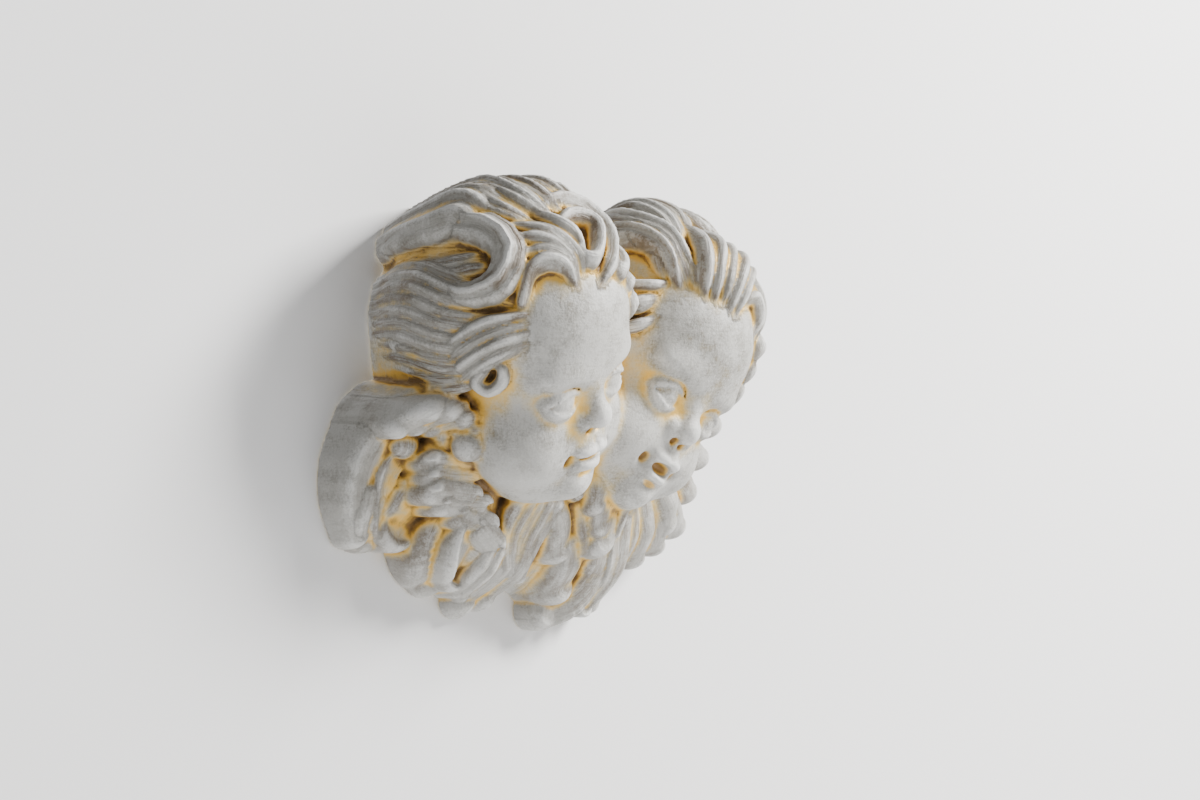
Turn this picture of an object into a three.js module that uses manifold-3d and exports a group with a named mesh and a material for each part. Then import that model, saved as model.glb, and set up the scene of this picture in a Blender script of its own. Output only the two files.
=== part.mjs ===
// A wall plaque cast in one piece: two cherub heads side by side, over three spread wings.
// Millimetres. The wall is the plane y = 0, the heads look towards -y, z is up.
// The forms are carved as a distance field on a grid, the way clay is built up and cut back:
// every form is added or cut softly, then the surface is drawn over the grid and thinned out.
import * as THREE from "three";
import Module from "manifold-3d";
import { mergeVertices } from "three/addons/utils/BufferGeometryUtils.js";

// Driving sizes
const headHeight = 130; // crown to chin; all carving is in shares of it
const headSpacing = 82; // between the two heads' centres
const headsAside = 10; // from the middle of the wings to the middle between the heads
const headStandOff = 46; // of a head's centre off the wall
const nailPocket = { width: 12, height: 8, depth: 11, rise: 52 }; // the hanging recess in the back
const headBreadth = 0.94; // narrowing of the heads, ear to ear
const headLength = 0.9; // flattening of the heads, nose to nape
const hangingLine = 16.5; // from the middle of the wings to the line that the plaque hangs level from
const cell = 2.2; // grid step of the carving
const wallOverlap = 5; // clay behind the wall plane, cut off flat at the end
const triangleBudget = 9000;

const degrees = Math.PI / 180;
const { min, max, abs, sqrt, cos, sin, PI } = Math;
const clamp = THREE.MathUtils.clamp;
const lerp = THREE.MathUtils.lerp;
const v3 = (x, y, z) => new THREE.Vector3(x, y, z);

// Soft joins of two distances
const softMin = (a, b, k) => {
  const h = clamp(0.5 + (0.5 * (b - a)) / k, 0, 1);
  return b + (a - b) * h - k * h * (1 - h);
};
const softMax = (a, b, k) => -softMin(-a, -b, k);

// Distance to an ellipsoid with centre c and half-axes r
function ellipsoid(x, y, z, cx, cy, cz, rx, ry, rz) {
  const a = (x - cx) / rx;
  const b = (y - cy) / ry;
  const c = (z - cz) / rz;
  const near = sqrt(a * a + b * b + c * c);
  const slope = sqrt((a / rx) ** 2 + (b / ry) ** 2 + (c / rz) ** 2) + 1e-9;
  return (near * (near - 1)) / slope;
}

// Distance to a cone with round ends, from a to b
function cone(x, y, z, a, b, ra, rb) {
  const [dx, dy, dz] = [b[0] - a[0], b[1] - a[1], b[2] - a[2]];
  const [px, py, pz] = [x - a[0], y - a[1], z - a[2]];
  const t = clamp((px * dx + py * dy + pz * dz) / (dx * dx + dy * dy + dz * dz), 0, 1);
  return Math.hypot(px - t * dx, py - t * dy, pz - t * dz) - lerp(ra, rb, t);
}

// An infant's head in shares of its height: x to the viewer's right, y out of the face, z up.
// parted is how far the lips are open, 0 to 1.
function headDistance(px, y, z, parted) {
  const x = abs(px);
  const e = (cx, cy, cz, rx, ry, rz) => ellipsoid(x, y, z, cx, cy, cz, rx, ry, rz);
  const rough = e(0, 0.03, 0.02, 0.36, 0.4, 0.48);
  if (rough > 0.16 || rough < -0.14) return rough;
  let d = e(0, -0.06, 0.125, 0.36, 0.415, 0.352); // cranium
  d = softMin(d, e(0, 0.14, 0.14, 0.305, 0.25, 0.245), 0.08); // forehead
  d = softMin(d, e(0, 0.08, -0.17, 0.285, 0.275, 0.29), 0.12); // lower face
  d = softMin(d, e(0.16, 0.165, -0.225, 0.178, 0.19, 0.165), 0.07); // cheek
  d = softMin(d, e(0, 0.15, -0.375, 0.2, 0.185, 0.105), 0.07); // jaw
  d = softMin(d, e(0, 0.315, -0.375, 0.07, 0.052, 0.05), 0.06); // chin
  d = softMin(d, e(0.12, 0.29, 0.05, 0.13, 0.07, 0.045), 0.07); // brow
  d = softMax(d, -e(0.14, 0.45, -0.05, 0.09, 0.105, 0.05), 0.06); // eye socket
  d = softMin(d, e(0, 0.295, -0.25, 0.1, 0.085, 0.085), 0.08); // muzzle
  // nose
  let nose = cone(x, y, z, [0, 0.305, 0.01], [0, 0.375, -0.1], 0.036, 0.038);
  nose = softMin(nose, e(0, 0.385, -0.118, 0.052, 0.046, 0.042), 0.03);
  nose = softMin(nose, e(0.054, 0.352, -0.132, 0.032, 0.036, 0.03), 0.02);
  d = softMin(d, nose, 0.035);
  d = softMax(d, -e(0.027, 0.376, -0.167, 0.016, 0.024, 0.014), 0.014); // nostril
  // mouth
  const upperLip = e(0.026, 0.372, -0.236, 0.056, 0.034, 0.021);
  const lowerLip = e(0, 0.365, -0.29 - 0.018 * parted, 0.052, 0.036, 0.024);
  d = softMin(d, softMin(upperLip, lowerLip, 0.012), 0.024);
  const slit = e(0, 0.4, -0.262 - 0.008 * parted, 0.08 - 0.012 * parted, 0.06, 0.006 + 0.018 * parted);
  d = softMax(d, -slit, 0.012);
  d = softMax(d, -e(0.1, 0.355, -0.266, 0.018, 0.03, 0.02), 0.03); // corner of the mouth
  d = softMax(d, -e(0, 0.412, -0.205, 0.012, 0.028, 0.024), 0.014); // groove over the lip
  d = softMax(d, -e(0, 0.4, -0.332, 0.06, 0.045, 0.014), 0.03); // hollow under the lip
  // eye: a ball between two lids, whose edges are arches over and under it
  const [ex, ey, ez] = [(x - 0.14) / 1.08, y - 0.285, z + 0.052];
  const ball = sqrt(ex * ex + ey * ey + ez * ez) - 0.068;
  const lid = ball - 0.015;
  const arch = 1 - (ex / 0.074) ** 2;
  const upperLid = softMax(lid, (0.034 * arch - ez) * 0.8, 0.006);
  const lowerLid = softMax(lid + 0.002, (ez + 0.028 * arch) * 0.8, 0.006);
  d = softMin(d, ball, 0.006);
  d = softMin(d, softMin(upperLid, lowerLid, 0.006), 0.014);
  // ear
  let ear = e(0.375, -0.03, -0.09, 0.035, 0.065, 0.1);
  ear = softMax(ear, -e(0.415, -0.015, -0.08, 0.024, 0.036, 0.06), 0.015);
  return softMin(d, ear, 0.02);
}

// The grid of clay. Distances are negative inside.
class Clay {
  constructor(low, high, step) {
    this.low = low;
    this.step = step;
    this.count = high.clone().sub(low).divideScalar(step).ceil().addScalar(1);
    this.values = new Float32Array(this.count.x * this.count.y * this.count.z).fill(4 * step);
  }

  // Visits the grid points of a box and replaces each value by change(value, x, y, z)
  work(box, change) {
    const { low, step, count } = this;
    const a = box.min.clone().sub(low).divideScalar(step).floor().max(new THREE.Vector3());
    const b = box.max.clone().sub(low).divideScalar(step).ceil().min(count.clone().subScalar(1));
    for (let k = a.z; k <= b.z; k++)
      for (let j = a.y; j <= b.y; j++)
        for (let i = a.x; i <= b.x; i++) {
          const n = i + count.x * (j + count.y * k);
          this.values[n] = change(this.values[n], low.x + i * step, low.y + j * step, low.z + k * step);
        }
  }

  add(form, soft) {
    this.work(form.box, (v, x, y, z) => softMin(v, form.distance(x, y, z), soft));
  }

  cut(form, soft) {
    this.work(form.box, (v, x, y, z) => softMax(v, -form.distance(x, y, z), soft));
  }
}

// A head set on the plaque: its pose turns plaque points into the head's own shares
class Head {
  constructor({ centre, yaw, pitch, roll, parted }) {
    this.centre = centre;
    this.parted = parted;
    const turn = new THREE.Euler(pitch * degrees, roll * degrees, yaw * degrees, "ZXY");
    this.toPlaque = new THREE.Matrix4()
      .makeRotationFromEuler(turn)
      .scale(v3(headBreadth, -headLength, 1).multiplyScalar(headHeight))
      .setPosition(centre);
    this.toHead = this.toPlaque.clone().invert();
    const reach = v3(0.6, 0.6, 0.6).multiplyScalar(headHeight);
    this.box = new THREE.Box3(centre.clone().sub(reach), centre.clone().add(reach));
  }

  shares(x, y, z) {
    const m = this.toHead.elements;
    return [
      m[0] * x + m[4] * y + m[8] * z + m[12],
      m[1] * x + m[5] * y + m[9] * z + m[13],
      m[2] * x + m[6] * y + m[10] * z + m[14],
    ];
  }

  distance(x, y, z) {
    const [a, b, c] = this.shares(x, y, z);
    return 0.9 * headHeight * headDistance(a, b, c, this.parted);
  }

  // The scalp under the locks, behind a hairline that runs from the forehead down to the ears
  scalp() {
    return {
      box: this.box,
      distance: (x, y, z) => {
        const [a, b, c] = this.shares(x, y, z);
        const skull = ellipsoid(a, b, c, 0, -0.06, 0.125, 0.382, 0.435, 0.372);
        return headHeight * softMax(skull, 0.947 * b - 0.322 * c - 0.168, 0.02);
      },
    };
  }

  // A point on the skull: around runs from the crown over the side, back from the face to the nape
  onSkull(around, back, lift) {
    const [a, b] = [around * degrees, back * degrees];
    const way = new THREE.Vector3(sin(b) * sin(a), cos(b), sin(b) * cos(a));
    const reach = 1 / Math.hypot(way.x / 0.372, way.y / 0.425, way.z / 0.362);
    const local = way.multiplyScalar(reach + lift).add(v3(0, -0.06, 0.125));
    return local.applyMatrix4(this.toPlaque);
  }
}

// A lock of hair: a flattened tube along a smooth curve, flat side towards origin
function lock(points, origin, { width, thick }) {
  const curve = new THREE.CatmullRomCurve3(points);
  const steps = 12;
  const path = curve.getPoints(steps);
  const frames = path.map((p, i) => {
    const along = curve.getTangent(i / steps);
    const side = new THREE.Vector3().crossVectors(along, p.clone().sub(origin)).normalize();
    return { p, side, out: new THREE.Vector3().crossVectors(side, along).normalize() };
  });
  const box = new THREE.Box3().setFromPoints(path).expandByScalar(width * 1.5);
  const distance = (x, y, z) => {
    let best = Infinity;
    let [bi, bt] = [0, 0];
    for (let i = 0; i < steps; i++) {
      const [a, b] = [path[i], path[i + 1]];
      const [dx, dy, dz] = [b.x - a.x, b.y - a.y, b.z - a.z];
      const [qx, qy, qz] = [x - a.x, y - a.y, z - a.z];
      const t = clamp((qx * dx + qy * dy + qz * dz) / (dx * dx + dy * dy + dz * dz), 0, 1);
      const far = (qx - t * dx) ** 2 + (qy - t * dy) ** 2 + (qz - t * dz) ** 2;
      if (far < best) [best, bi, bt] = [far, i, t];
    }
    const [f, g] = [frames[bi], frames[bi + 1]];
    const s = (bi + bt) / steps;
    const swell = 0.25 + 0.75 * max(0, sin(PI * min(1, 0.12 + 0.88 * s))) ** 0.7;
    const [w, h] = [width * swell * 0.5, thick * swell * 0.5];
    const rx = x - lerp(f.p.x, g.p.x, bt);
    const ry = y - lerp(f.p.y, g.p.y, bt);
    const rz = z - lerp(f.p.z, g.p.z, bt);
    const across = rx * f.side.x + ry * f.side.y + rz * f.side.z;
    const out = rx * f.out.x + ry * f.out.y + rz * f.out.z;
    const along = sqrt(max(0, best - across * across - out * out));
    const near = sqrt((across / w) ** 2 + (out / h) ** 2 + (along / h) ** 2);
    const slope = sqrt((across / w / w) ** 2 + (out / h / h) ** 2 + (along / h / h) ** 2) + 1e-9;
    return (near * (near - 1)) / slope;
  };
  return { box, distance };
}

// A feather carved in relief on the wall: a strip along a smooth path of [x, z, depth of its
// crest], in shares of the head height, from the point origin. It is domed and tilted across,
// may have a raised rim, narrows by taper at its root and to end at its tip, and spreads by
// flare towards the wall.
function feather(origin, shape) {
  const { path, width, dome = 0.5, tilt = 0, rim = 0, taper = 0, end = 0.85 } = shape;
  const { flare = 0.04, round = 0.45 } = shape;
  const steps = 12;
  const curve = new THREE.CatmullRomCurve3(path.map(([x, z, depth]) => v3(x, -depth, z)));
  const places = curve.getPoints(steps).map((p) => p.multiplyScalar(headHeight).add(origin));
  const full = (width / 2) * headHeight;
  const box = new THREE.Box3().setFromPoints(places).expandByScalar(1.6 * full + 0.04 * headHeight);
  box.max.y = wallOverlap;
  const distance = (px, y, pz) => {
    let best = Infinity;
    let [s, side, crest] = [0, 1, 0];
    for (let i = 0; i < steps; i++) {
      const [a, b] = [places[i], places[i + 1]];
      const [dx, dz] = [b.x - a.x, b.z - a.z];
      const t = clamp(((px - a.x) * dx + (pz - a.z) * dz) / (dx * dx + dz * dz), 0, 1);
      const [qx, qz] = [px - a.x - t * dx, pz - a.z - t * dz];
      const far = qx * qx + qz * qz;
      if (far >= best) continue;
      best = far;
      s = (i + t) / steps;
      side = qz * dx - qx * dz < 0 ? 1 : -1;
      crest = -lerp(a.y, b.y, t);
    }
    const offset = sqrt(best);
    const half = full * (1 - taper * (1 - s) ** 2) * (1 - (1 - end) * s ** 4);
    const r = offset / half;
    const bead = rim * Math.exp(-(((r - 0.78) / 0.2) ** 2));
    const rise = crest + full * (tilt * side * min(1.1, r) - dome * min(1.6, r * r) + bead);
    return softMax(offset - half - flare * (crest + y), (-y - rise) * 0.9, round * full);
  };
  return { box, distance };
}

// A ball of clay at [x, z, depth], in shares of the head height
function ball(origin, { centre: [x, z, depth], radii }) {
  const c = v3(x, -depth, z).multiplyScalar(headHeight).add(origin);
  const r = v3(...radii).multiplyScalar(headHeight);
  const reach = r.clone().addScalar(6);
  return {
    box: new THREE.Box3(c.clone().sub(reach), c.clone().add(reach)),
    distance: (px, py, pz) => ellipsoid(px, py, pz, c.x, c.y, c.z, r.x, r.y, r.z),
  };
}

// One form, or a row of feathers that change evenly from the first path to the last
function carved(origin, { count = 1, last, lastWidth, ...shape }) {
  if (shape.radii) return [ball(origin, shape)];
  return Array.from({ length: count }, (_, i) => {
    const t = i / max(1, count - 1);
    const path = shape.path.map((p, j) => p.map((value, c) => lerp(value, (last ?? shape.path)[j][c], t)));
    return feather(origin, { ...shape, path, width: lerp(shape.width, lastWidth ?? shape.width, t) });
  });
}

// The two heads, and the points on the wall behind them that the wings are set out from
const middle = v3(headsAside, 0, 0);
const heads = {
  left: new Head({
    centre: v3(headsAside - headSpacing / 2, -headStandOff, 0.185 * headHeight),
    yaw: 8, pitch: 18, roll: -16, parted: 0.2,
  }),
  right: new Head({
    centre: v3(headsAside + headSpacing / 2, -headStandOff, 0.125 * headHeight),
    yaw: -3, pitch: 22, roll: 24, parted: 1,
  }),
};
const foot = (head) => v3(head.centre.x, 0, 0);

const leftWing = [
  // the ground under it
  {
    path: [[-0.24, -0.12, 0.2], [-0.35, -0.22, 0.13], [-0.38, -0.33, 0.08]],
    width: 0.34, dome: 0.1, round: 0.3,
  },
  { path: [[-0.16, -0.28, 0.23], [-0.23, -0.35, 0.12]], width: 0.3, dome: 0.2, round: 0.4 },
  {
    path: [[-0.12, -0.15, 0.34], [-0.08, -0.3, 0.31], [-0.02, -0.42, 0.26]],
    width: 0.3, dome: 0.3, round: 0.6,
  },
  // the arm: from the scroll beside the cheek over the shoulder, down to two tips
  {
    path: [
      [-0.21, -0.05, 0.4], [-0.275, 0, 0.37], [-0.345, 0, 0.29], [-0.41, -0.055, 0.215],
      [-0.485, -0.18, 0.165], [-0.49, -0.29, 0.14], [-0.45, -0.4, 0.1],
    ],
    width: 0.13, dome: 0.35, rim: 0.1, round: 0.45,
  },
  {
    path: [
      [-0.29, -0.045, 0.32], [-0.345, -0.065, 0.25], [-0.39, -0.13, 0.195], [-0.42, -0.22, 0.165],
      [-0.42, -0.31, 0.14],
    ],
    width: 0.07, dome: 0.75, taper: 0.2, end: 0.7, round: 0.3,
  },
  { path: [[-0.46, -0.27, 0.16], [-0.47, -0.35, 0.14], [-0.44, -0.41, 0.1]], width: 0.085, dome: 0.6 },
  { path: [[-0.41, -0.3, 0.15], [-0.42, -0.36, 0.13], [-0.395, -0.41, 0.09]], width: 0.06, dome: 0.6 },
  // barbs that curl over the scroll, and the lumps in it
  { path: [[-0.45, -0.06, 0.29], [-0.415, -0.015, 0.375], [-0.36, 0.01, 0.375]], width: 0.07, dome: 0.6 },
  { path: [[-0.39, -0.055, 0.31], [-0.35, -0.015, 0.4], [-0.285, 0.005, 0.4]], width: 0.07, dome: 0.6 },
  { path: [[-0.335, -0.06, 0.325], [-0.3, -0.035, 0.41], [-0.24, -0.03, 0.41]], width: 0.07, dome: 0.6 },
  { path: [[-0.29, -0.085, 0.33], [-0.265, -0.07, 0.41], [-0.215, -0.08, 0.41]], width: 0.07, dome: 0.6 },
  { path: [[-0.28, -0.11, 0.33], [-0.265, -0.105, 0.4], [-0.23, -0.125, 0.4]], width: 0.075, dome: 0.6 },
  { centre: [-0.24, -0.12, 0.36], radii: [0.055, 0.06, 0.055] },
  { centre: [-0.37, -0.115, 0.2], radii: [0.055, 0.05, 0.05] },
  { centre: [-0.26, -0.14, 0.25], radii: [0.08, 0.07, 0.055] },
  // the strip inside the arm, the broad panel and the small feather on it
  {
    path: [[-0.35, -0.12, 0.2], [-0.405, -0.22, 0.165], [-0.395, -0.33, 0.13], [-0.36, -0.41, 0.09]],
    width: 0.09, dome: -0.15, rim: 0.15, taper: 0.2, end: 0.6, round: 0.3,
  },
  {
    path: [[-0.22, -0.22, 0.24], [-0.27, -0.31, 0.185], [-0.29, -0.38, 0.12]],
    width: 0.23, dome: 0.1, rim: 0.1, taper: 0.2, round: 0.2,
  },
  { path: [[-0.29, -0.225, 0.25], [-0.34, -0.24, 0.205]], width: 0.07, end: 0.7 },
  // scales stepping down to the chin
  {
    count: 3,
    path: [[-0.32, -0.175, 0.31], [-0.21, -0.19, 0.345]],
    last: [[-0.3, -0.27, 0.31], [-0.18, -0.285, 0.34]],
    width: 0.075, lastWidth: 0.083, dome: 0.45, tilt: -0.45, rim: 0.08, end: 0.9, round: 0.3,
  },
  {
    count: 3,
    path: [[-0.245, -0.31, 0.305], [-0.12, -0.32, 0.335]],
    last: [[-0.09, -0.4, 0.305], [-0.01, -0.455, 0.29]],
    width: 0.087, lastWidth: 0.095, dome: 0.45, tilt: -0.45, rim: 0.08, end: 0.9, round: 0.3,
  },
  // a round lobe with a disc on it, two folds, and two lobes beside them
  {
    path: [[-0.13, -0.37, 0.25], [-0.135, -0.46, 0.18], [-0.07, -0.545, 0.09]],
    width: 0.24, dome: 0.35, rim: 0.06, taper: 0.2, round: 0.35,
  },
  {
    path: [[-0.11, -0.39, 0.275], [-0.105, -0.475, 0.235], [-0.045, -0.555, 0.14]],
    width: 0.16, dome: 0.1, rim: 0.2, taper: 0.1, round: 0.25,
  },
  {
    count: 2, path: [[-0.01, -0.46, 0.28], [-0.02, -0.55, 0.235], [0.01, -0.625, 0.12]],
    last: [[0.03, -0.49, 0.28], [0.02, -0.57, 0.235], [0.045, -0.645, 0.11]], width: 0.058, dome: 0.6,
  },
  {
    path: [[0.11, -0.46, 0.28], [0.095, -0.57, 0.215], [0.085, -0.665, 0.09]],
    width: 0.17, dome: 0.45, end: 0.75, round: 0.5,
  },
  { path: [[0.17, -0.45, 0.3], [0.19, -0.56, 0.235], [0.17, -0.655, 0.11]], width: 0.13 },
  // strands that fall from the chin
  {
    count: 5, path: [[0.04, -0.32, 0.36], [0.04, -0.42, 0.3], [0.11, -0.55, 0.24]],
    last: [[0.21, -0.34, 0.38], [0.195, -0.46, 0.31], [0.27, -0.6, 0.17]],
    width: 0.06, dome: 0.55, end: 0.7,
  },
];

const middleWing = [
  // the ground where it meets the left wing
  { centre: [-0.22, -0.27, 0.02], radii: [0.08, 0.08, 0.09] },
  // the ground under it
  {
    path: [[0, -0.3, 0.34], [0.12, -0.45, 0.27], [0.22, -0.62, 0.12]],
    width: 0.42, dome: 0.35, taper: 0.1, end: 0.7,
  },
  // two long outer strips, and the big feather that bends round under the others
  { path: [[0.32, -0.42, 0.34], [0.41, -0.6, 0.24], [0.42, -0.73, 0.12]], width: 0.1 },
  {
    path: [[0.27, -0.44, 0.33], [0.35, -0.62, 0.235], [0.34, -0.74, 0.13]],
    width: 0.08, dome: -0.1, rim: 0.1, round: 0.25,
  },
  {
    path: [[0.21, -0.46, 0.33], [0.27, -0.6, 0.25], [0.235, -0.7, 0.18], [0.165, -0.735, 0.12]],
    width: 0.14, dome: 0.4, rim: 0.08, end: 1,
  },
  { path: [[0.26, -0.68, 0.17], [0.17, -0.745, 0.12]], width: 0.11, dome: 0.6, end: 1 },
  // three short feathers over it
  {
    path: [[0.06, -0.46, 0.32], [0.11, -0.57, 0.265], [0.14, -0.645, 0.2]],
    width: 0.15, dome: 0.35, rim: 0.08,
  },
  {
    path: [[-0.1, -0.33, 0.37], [-0.04, -0.42, 0.35], [0.01, -0.49, 0.305]],
    width: 0.13, dome: 0.35, end: 0.95,
  },
  { path: [[0.01, -0.34, 0.38], [0.07, -0.44, 0.355], [0.12, -0.51, 0.32]], width: 0.06, dome: 0.7 },
  // scoops nested under the chins, and the fold beside them
  {
    path: [[0.09, -0.3, 0.4], [0.15, -0.39, 0.385], [0.17, -0.46, 0.36]],
    width: 0.17, dome: 0.35, rim: 0.06, end: 0.95,
  },
  {
    path: [[0.07, -0.27, 0.425], [0.1, -0.36, 0.415], [0.12, -0.41, 0.39]],
    width: 0.13, dome: 0.4, rim: 0.06, end: 0.95,
  },
  {
    path: [[0.02, -0.22, 0.44], [0.04, -0.29, 0.445], [0.05, -0.335, 0.43]],
    width: 0.1, dome: 0.45, end: 0.95,
  },
  { path: [[-0.05, -0.23, 0.43], [-0.03, -0.3, 0.41]], width: 0.08, dome: 0.6 },
  {
    path: [[0.1, -0.2, 0.43], [0.17, -0.29, 0.43], [0.23, -0.39, 0.4], [0.24, -0.46, 0.36]],
    width: 0.045, dome: 0.7,
  },
];

const rightWing = [
  // the ground under it
  {
    path: [[0.03, -0.25, 0.3], [0.27, -0.26, 0.22], [0.56, -0.12, 0.14]],
    width: 0.42, dome: 0.3, taper: 0.1, end: 0.75,
  },
  { path: [[0.01, -0.3, 0.33], [0.19, -0.45, 0.2]], width: 0.3, dome: 0.3, taper: 0.1, end: 0.75 },
  // long feathers, fanned from below the chin out to the side, and shorter ones over them
  {
    count: 3, path: [[0.03, -0.36, 0.35], [0.15, -0.5, 0.26], [0.23, -0.62, 0.13]],
    last: [[0.19, -0.34, 0.33], [0.35, -0.46, 0.25], [0.46, -0.55, 0.15]],
    width: 0.12, dome: 0.55, taper: 0.1, end: 0.75,
  },
  {
    count: 5, path: [[0.23, -0.3, 0.31], [0.41, -0.41, 0.25], [0.54, -0.48, 0.18]],
    last: [[0.31, 0.02, 0.33], [0.57, 0.03, 0.28], [0.81, 0, 0.2]],
    width: 0.14, lastWidth: 0.13, taper: 0.1, end: 0.75,
  },
  {
    count: 4, path: [[0.21, -0.31, 0.35], [0.3, -0.38, 0.32], [0.37, -0.45, 0.26]],
    last: [[0.23, 0.05, 0.37], [0.41, 0.06, 0.34], [0.57, 0.04, 0.27]],
    width: 0.13, lastWidth: 0.12, end: 0.9,
  },
  // the arm along the top
  {
    path: [
      [0.23, 0.02, 0.36], [0.39, 0.09, 0.35], [0.56, 0.11, 0.31], [0.73, 0.08, 0.25], [0.83, 0.02, 0.19],
    ],
    width: 0.13,
  },
];

// Locks of hair, as [around, back] in degrees on the skull: those of a row change evenly from
// the first path to the last
const leftHair = [
  // from the crown forwards over the top
  { path: [[-30, 118], [-24, 100], [-26, 84]], width: 0.26, thick: 0.14, lift: 0.03, fromWall: true },
  {
    count: 5,
    path: [[-10, 118], [-20, 88], [-14, 64]],
    last: [[34, 110], [32, 86], [28, 60]],
    width: 0.12, thick: 0.1, lift: 0.03, fromWall: true,
  },
  {
    count: 6,
    path: [[44, 112], [46, 80], [40, 54]],
    last: [[112, 112], [100, 80], [92, 60]],
    width: 0.12, thick: 0.1, lift: 0.02, fromWall: true,
  },
  // the wave that rolls round a hollow at the side, the strands in the hollow and those behind it
  {
    path: [[-43, 120], [-34, 88], [-39, 68], [-55, 65], [-66, 78], [-64, 98]],
    width: 0.11, thick: 0.12, lift: 0.04, fromWall: true,
  },
  {
    count: 3,
    path: [[-60, 110], [-52, 93], [-43, 79]],
    last: [[-62, 98], [-55, 84], [-48, 74]],
    width: 0.05, thick: 0.05, lift: 0,
  },
  {
    count: 5,
    path: [[-66, 112], [-66, 84], [-60, 57]],
    last: [[-116, 110], [-109, 82], [-103, 62]],
    width: 0.13, thick: 0.08, lift: 0.015, fromWall: true,
  },
  // strands at the temple and the swirl before the ear
  {
    count: 4,
    path: [[-66, 50], [-75, 64], [-86, 76], [-98, 84]],
    last: [[-84, 46], [-90, 56], [-101, 68], [-113, 78]],
    width: 0.055, thick: 0.07, lift: 0.03,
  },
  {
    path: [[-88, 50], [-96, 60], [-106, 66], [-111, 61], [-105, 54], [-97, 55], [-99, 61]],
    width: 0.05, thick: 0.07, lift: 0.03,
  },
  // arcs over the forehead, the big curl in the middle and small ones on the far side
  {
    count: 4, path: [[-57, 52], [-42, 55], [-31, 51], [-25, 43], [-27, 33]],
    last: [[-34, 84], [-24, 71], [-18, 59], [-16, 48], [-19, 36]], width: 0.06, thick: 0.08, lift: 0.03,
  },
  {
    count: 2,
    path: [[-18, 72], [-15, 57], [-12, 45], [-13, 35]],
    last: [[-10, 74], [-8, 60], [-4, 50], [-9, 38]],
    width: 0.06, thick: 0.08, lift: 0.03,
  },
  {
    path: [[-6, 72], [14, 75], [31, 67], [34, 50], [18, 34], [0, 27]],
    width: 0.08, thick: 0.1, lift: 0.035,
  },
  {
    path: [[-6, 60], [10, 63], [22, 56], [13, 44], [-3, 38], [-9, 43], [-1, 47]],
    width: 0.055, thick: 0.09, lift: 0.03,
  },
  {
    count: 3,
    path: [[40, 58], [48, 44], [34, 34], [26, 42]],
    last: [[84, 60], [92, 48], [78, 38], [70, 46]],
    width: 0.07, thick: 0.08, lift: 0.025,
  },
];

const rightHair = [
  // waves from the crown forwards to the parting
  {
    count: 2,
    path: [[-40, 132], [-26, 116], [-18, 98], [-26, 76]],
    last: [[-43, 128], [-32, 112], [-34, 88], [-38, 68]],
    width: 0.13, thick: 0.1, lift: 0.03,
  },
  {
    count: 3,
    path: [[-46, 132], [-50, 98], [-45, 73], [-50, 44]],
    last: [[-66, 114], [-58, 90], [-54, 70], [-60, 50]],
    width: 0.085, thick: 0.1, lift: 0.035,
  },
  // the curl at the near temple
  { path: [[-76, 94], [-64, 90], [-57, 78], [-64, 58]], width: 0.06, thick: 0.08, lift: 0.03 },
  { path: [[-82, 82], [-82, 70], [-74, 60], [-64, 55]], width: 0.05, thick: 0.07, lift: 0.03 },
  {
    count: 2, path: [[-94, 72], [-87, 60], [-76, 54]], last: [[-104, 64], [-96, 54], [-86, 48]],
    width: 0.06, thick: 0.07, lift: 0.03,
  },
  // strands combed down on the forehead, and the curls at its far side
  {
    count: 5,
    path: [[-24, 80], [-31, 62], [-40, 50], [-49, 38]],
    last: [[22, 66], [14, 56], [-6, 38], [-20, 24]],
    width: 0.075, thick: 0.09, lift: 0.035,
  },
  {
    count: 3,
    path: [[0, 50], [22, 56], [40, 50], [52, 38]],
    last: [[-2, 34], [18, 42], [32, 38], [42, 28]],
    width: 0.065, thick: 0.08, lift: 0.03,
  },
  // the far side and the back
  {
    count: 8,
    path: [[-12, 118], [0, 92], [14, 74]],
    last: [[112, 112], [98, 80], [92, 58]],
    width: 0.12, thick: 0.1, lift: 0.025, fromWall: true,
  },
  {
    count: 3,
    path: [[56, 60], [66, 48], [56, 38], [46, 44]],
    last: [[96, 60], [104, 48], [92, 40], [84, 48]],
    width: 0.07, thick: 0.08, lift: 0.03,
  },
  {
    count: 3, path: [[-96, 80], [-100, 100], [-104, 125]], last: [[-116, 66], [-118, 90], [-120, 120]],
    width: 0.12, thick: 0.08, lift: 0.012,
  },
];

function locks(head, { count = 1, path, last = path, width, thick, lift, fromWall }) {
  return Array.from({ length: count }, (_, i) => {
    const t = i / max(1, count - 1);
    const points = path.map(([around, back], j) => {
      const s = j / (path.length - 1);
      const rise = lift * sin(PI * (0.1 + 0.8 * s));
      return head.onSkull(lerp(around, last[j][0], t), lerp(back, last[j][1], t), rise);
    });
    const [{ x, z }] = points;
    if (fromWall) points.unshift(v3(lerp(head.centre.x, x, 0.72), 0, lerp(head.centre.z, z, 0.86)));
    return lock(points, head.centre, { width: width * headHeight, thick: thick * headHeight });
  });
}

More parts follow.
